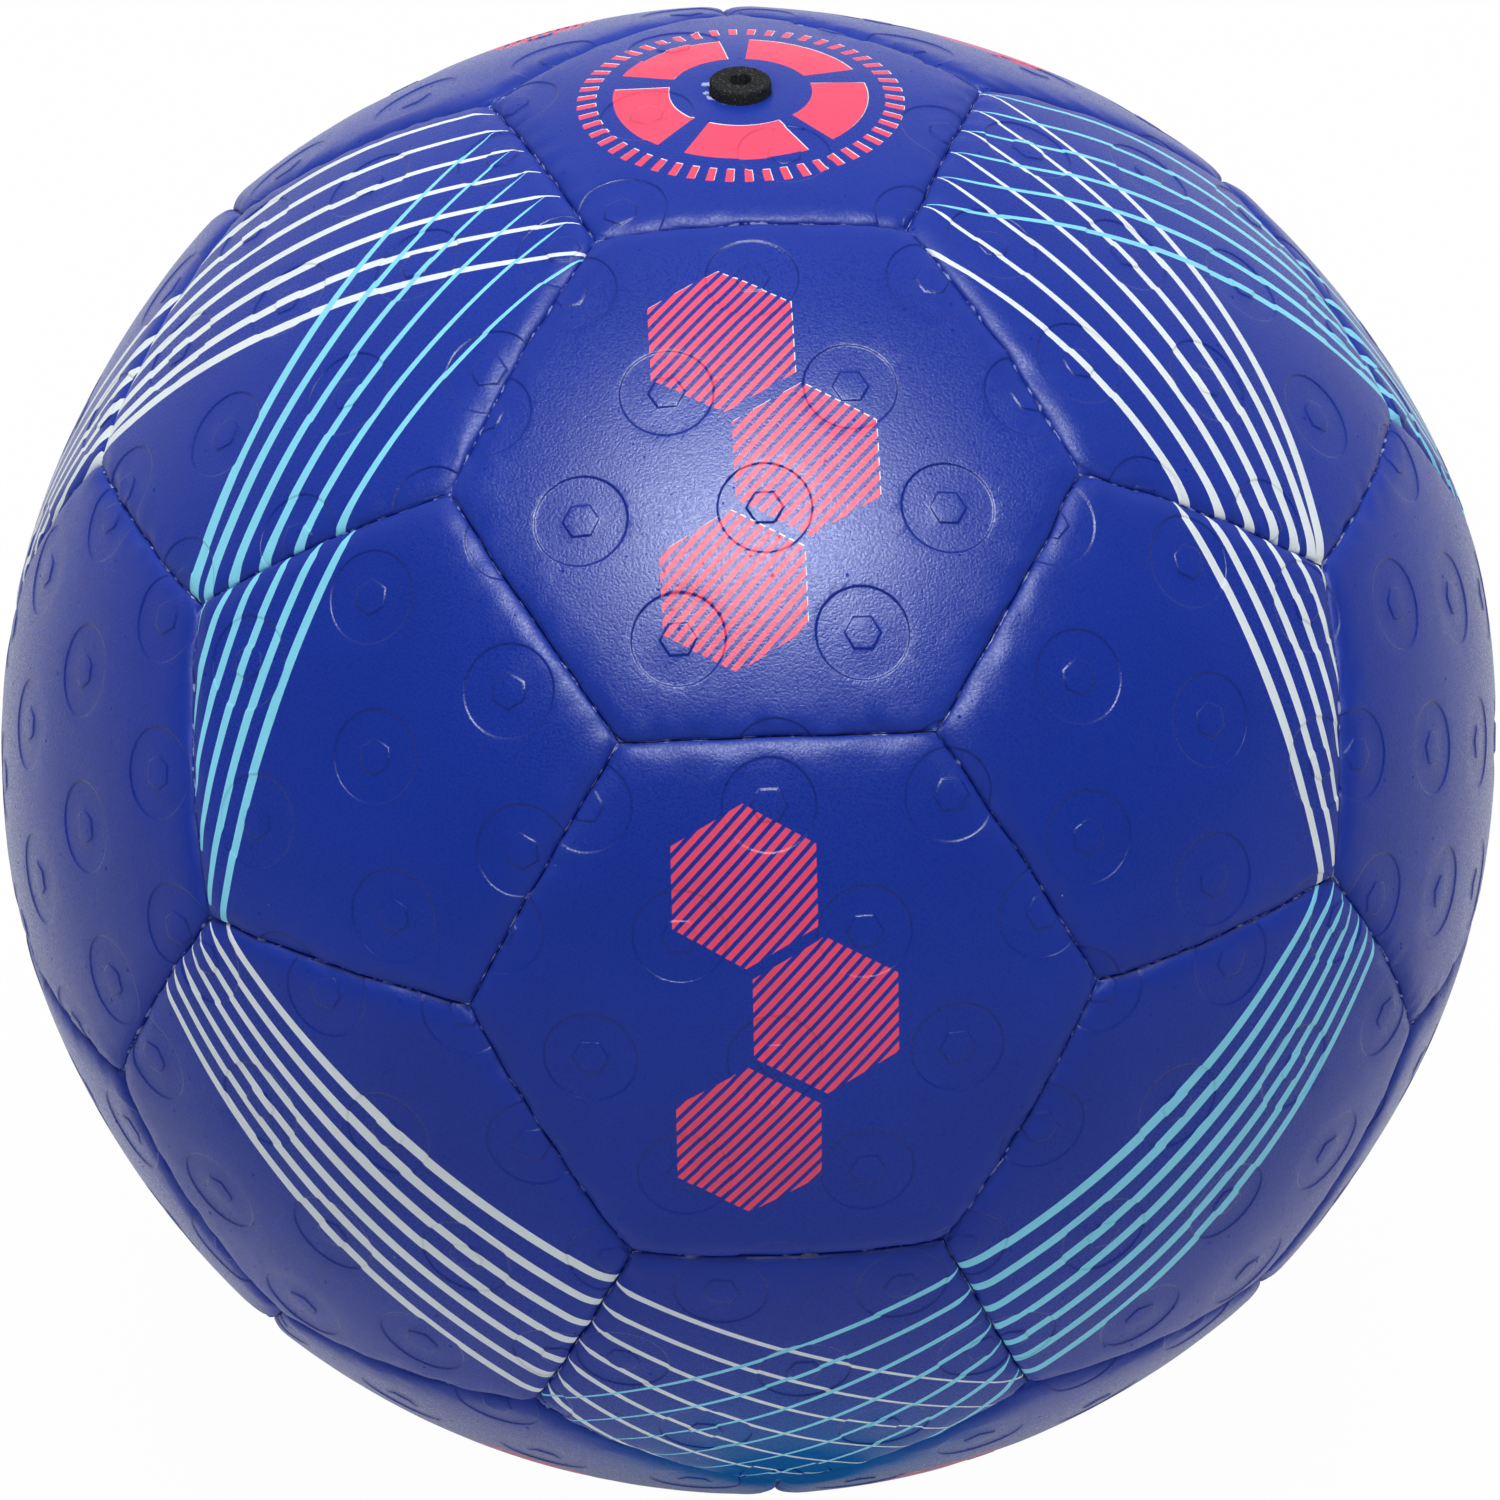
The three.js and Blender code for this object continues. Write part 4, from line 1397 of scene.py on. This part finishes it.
# The lamps' distance from the ball and the way that counts as up for them; the floor's half width, in metres
LAMP_DISTANCE = 1.5
LAMP_UP = (0.1, 0.2, 1.0)
FLOOR_HALF = 6.0


def view_axes():
    """Right, up and backward directions of the camera."""
    azimuth, elevation, roll = (math.radians(a) for a in (VIEW_AZIMUTH, VIEW_ELEVATION, VIEW_ROLL))
    level = math.cos(elevation)
    back = np.array([math.sin(azimuth) * level, -math.cos(azimuth) * level, math.sin(elevation)])
    right = np.array([math.cos(azimuth), math.sin(azimuth), 0.0])
    up = np.cross(back, right)
    turned_right = math.cos(roll) * right + math.sin(roll) * up
    turned_up = math.cos(roll) * up - math.sin(roll) * right
    return turned_right, turned_up, back


def placed(right, up, back, location):
    """A matrix from three axes and a place; a lamp or a camera there looks along its own -Z."""
    columns = np.eye(4)
    columns[:3, 0], columns[:3, 1], columns[:3, 2], columns[:3, 3] = right, up, back, location
    return Matrix(columns.tolist())


def softbox(name, direction, width, height, power, colour=(1.0, 1.0, 1.0)):
    """A flat studio lamp that looks at the ball."""
    lamp = bpy.data.lights.new(name, "AREA")
    lamp.shape = "RECTANGLE"
    lamp.size = width
    lamp.size_y = height
    lamp.energy = power
    lamp.color = colour
    holder = new_object(name, lamp)
    back = unit(direction)
    right = unit(np.cross(LAMP_UP, back))
    holder.matrix_world = placed(right, np.cross(back, right), back, back * LAMP_DISTANCE)
    return holder


def white_floor():
    """White studio sweep: plain white with a soft shadow; mirrors see it glow less, with a painted shadow
    round the ball's foot.
    """
    dark_reach, lit_reach = 15 * MM, 50 * MM
    mirror_level, seen_level = 0.6, 0.98
    grey = shaded(linear("#d7d7d7"), 1)
    material, tree, shader, place = new_material("white_paper_floor", Roughness=0.9, Base_Color=grey)
    rays = add_node(tree, "ShaderNodeLightPath").outputs
    away = add_node(tree, "ShaderNodeVectorMath", {
        0: place, 1: (0, 0, -BALL_RADIUS * MM)}, operation="DISTANCE").outputs["Value"]
    # Painted shadow: the glow that mirrors see is nothing within dark_reach of the ball's foot and
    # mirror_level from lit_reach on
    lit = add_node(tree, "ShaderNodeMapRange", {
        "Value": away, "From Min": dark_reach, "From Max": lit_reach,
        "To Max": mirror_level}).outputs["Result"]
    mirrored = add_node(tree, "ShaderNodeMath", {
        0: rays["Is Glossy Ray"], 1: rays["Is Transmission Ray"]}, operation="MAXIMUM").outputs[0]
    mirrored = add_node(tree, "ShaderNodeMath", {0: mirrored, 1: lit}, operation="MULTIPLY").outputs[0]
    seen = add_node(tree, "ShaderNodeMath", {
        0: rays["Is Camera Ray"], 1: seen_level}, operation="MULTIPLY").outputs[0]
    share = add_node(tree, "ShaderNodeMath", {0: seen, 1: mirrored}, operation="MAXIMUM").outputs[0]
    glow = add_node(tree, "ShaderNodeEmission", {"Color": (1, 1, 1, 1), "Strength": 1.0}).outputs[0]
    mixed = add_node(tree, "ShaderNodeMixShader", {0: share, 1: shader.outputs[0], 2: glow}).outputs[0]
    tree.links.new(mixed, tree.nodes["Material Output"].inputs["Surface"])
    return material


def studio_world():
    """A white room, dimmer in front of the ball than behind it, that looks plain white itself."""
    front_level, back_level = 0.15, 0.95
    world = bpy.data.worlds.new("studio")
    world.use_nodes = True
    tree = world.node_tree
    way = add_node(tree, "ShaderNodeTexCoord").outputs["Generated"]
    behind = add_node(tree, "ShaderNodeSeparateXYZ", {"Vector": way}).outputs["Y"]
    glow = add_node(tree, "ShaderNodeMapRange", {
        "Value": behind, "From Min": -0.5, "From Max": 0.8, "To Min": front_level, "To Max": back_level},
        interpolation_type="SMOOTHSTEP").outputs["Result"]
    rays = add_node(tree, "ShaderNodeLightPath").outputs
    seen = add_node(tree, "ShaderNodeMath", {
        0: rays["Is Camera Ray"], 1: rays["Is Transmission Ray"]}, operation="MAXIMUM").outputs[0]
    level = add_node(tree, "ShaderNodeMath", {0: seen, 1: glow}, operation="MAXIMUM").outputs[0]
    feed(tree, tree.nodes["Background"], {"Color": (1, 1, 1, 1), "Strength": level})
    return world


def photo_camera(right, up, back):
    """The camera, placed and shifted so that the ball lies where the photograph has it."""
    lens = bpy.data.cameras.new("camera")
    lens.sensor_width = SENSOR
    lens.lens = FOCAL_PIXELS * SENSOR / FRAME_PIXELS
    camera = new_object("camera", lens)
    distance = VIEW_DISTANCE * BALL_RADIUS * MM
    aside, above = (FRAME_PIXELS / 2 - pixel for pixel in BALL_PIXELS)
    location = back * distance + (right * aside - up * above) * distance / FOCAL_PIXELS
    camera.matrix_world = placed(right, up, back, location)
    return camera


class HANDBALL_OT_stage(bpy.types.Operator):
    """Set up the floor, the lamps and the camera"""

    bl_idname = "handball.set_stage"
    bl_label = "Set Stage"

    def execute(self, context):
        scene = context.scene
        scene.view_settings.view_transform = "Standard"
        half = FLOOR_HALF
        low = -BALL_RADIUS * MM
        mesh = bpy.data.meshes.new("floor")
        corners = [(-half, -half, low), (half, -half, low), (half, half, low), (-half, half, low)]
        mesh.from_pydata(corners, [], [(0, 1, 2, 3)])
        mesh.materials.append(white_floor())
        floor = new_object("floor", mesh)
        floor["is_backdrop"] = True

        right, up, back = view_axes()
        overhead = 0.7 * up + 0.71 * back
        top = softbox("top_softbox", overhead, width=1.0, height=0.7, power=19)
        top.visible_glossy = False
        over_view = 0.025 * right + 0.55 * up + 0.83 * back
        sheen = softbox("sheen_lamp", over_view, width=0.85, height=0.56, power=86, colour=(0.84, 0.9, 1.0))
        sheen.visible_diffuse = False

        scene.world = studio_world()
        scene.camera = photo_camera(right, up, back)
        return {"FINISHED"}


class HANDBALL_PT_sidebar(bpy.types.Panel):
    """The handball's steps and sizes"""

    bl_label = "Handball"
    bl_space_type = "VIEW_3D"
    bl_region_type = "UI"
    bl_category = "Handball"

    def draw(self, context):
        for step in STEPS:
            self.layout.operator(step.bl_idname)
        for name, group in GROUPS.items():
            box = self.layout.box()
            for key in group.__annotations__:
                box.prop(getattr(context.scene, name), key)


STEPS = [HANDBALL_OT_stage, HANDBALL_OT_panels, HANDBALL_OT_thread, HANDBALL_OT_bladder, HANDBALL_OT_valve]
CLASSES = [*GROUPS.values(), *STEPS, HANDBALL_PT_sidebar]


def register():
    """Make the handball's classes and sizes known to Blender."""
    for kind in CLASSES:
        bpy.utils.register_class(kind)
    for name, group in GROUPS.items():
        setattr(bpy.types.Scene, name, bpy.props.PointerProperty(type=group))


def unregister():
    """Take the handball's classes and sizes out again."""
    for name in GROUPS:
        delattr(bpy.types.Scene, name)
    for kind in reversed(CLASSES):
        bpy.utils.unregister_class(kind)


def main():
    """Build the ball."""
    register()
    bpy.ops.handball.set_stage()
    bpy.ops.handball.sew_panels()
    bpy.ops.handball.stitch_seams()
    bpy.ops.handball.blow_bladder()
    bpy.ops.handball.fit_valve()
    boxes = {"cad": CAD_BOX, "visual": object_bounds()}
    {name: [list(corner) for corner in box] for name, box in boxes.items()}


if __name__ == "__main__":
    main()
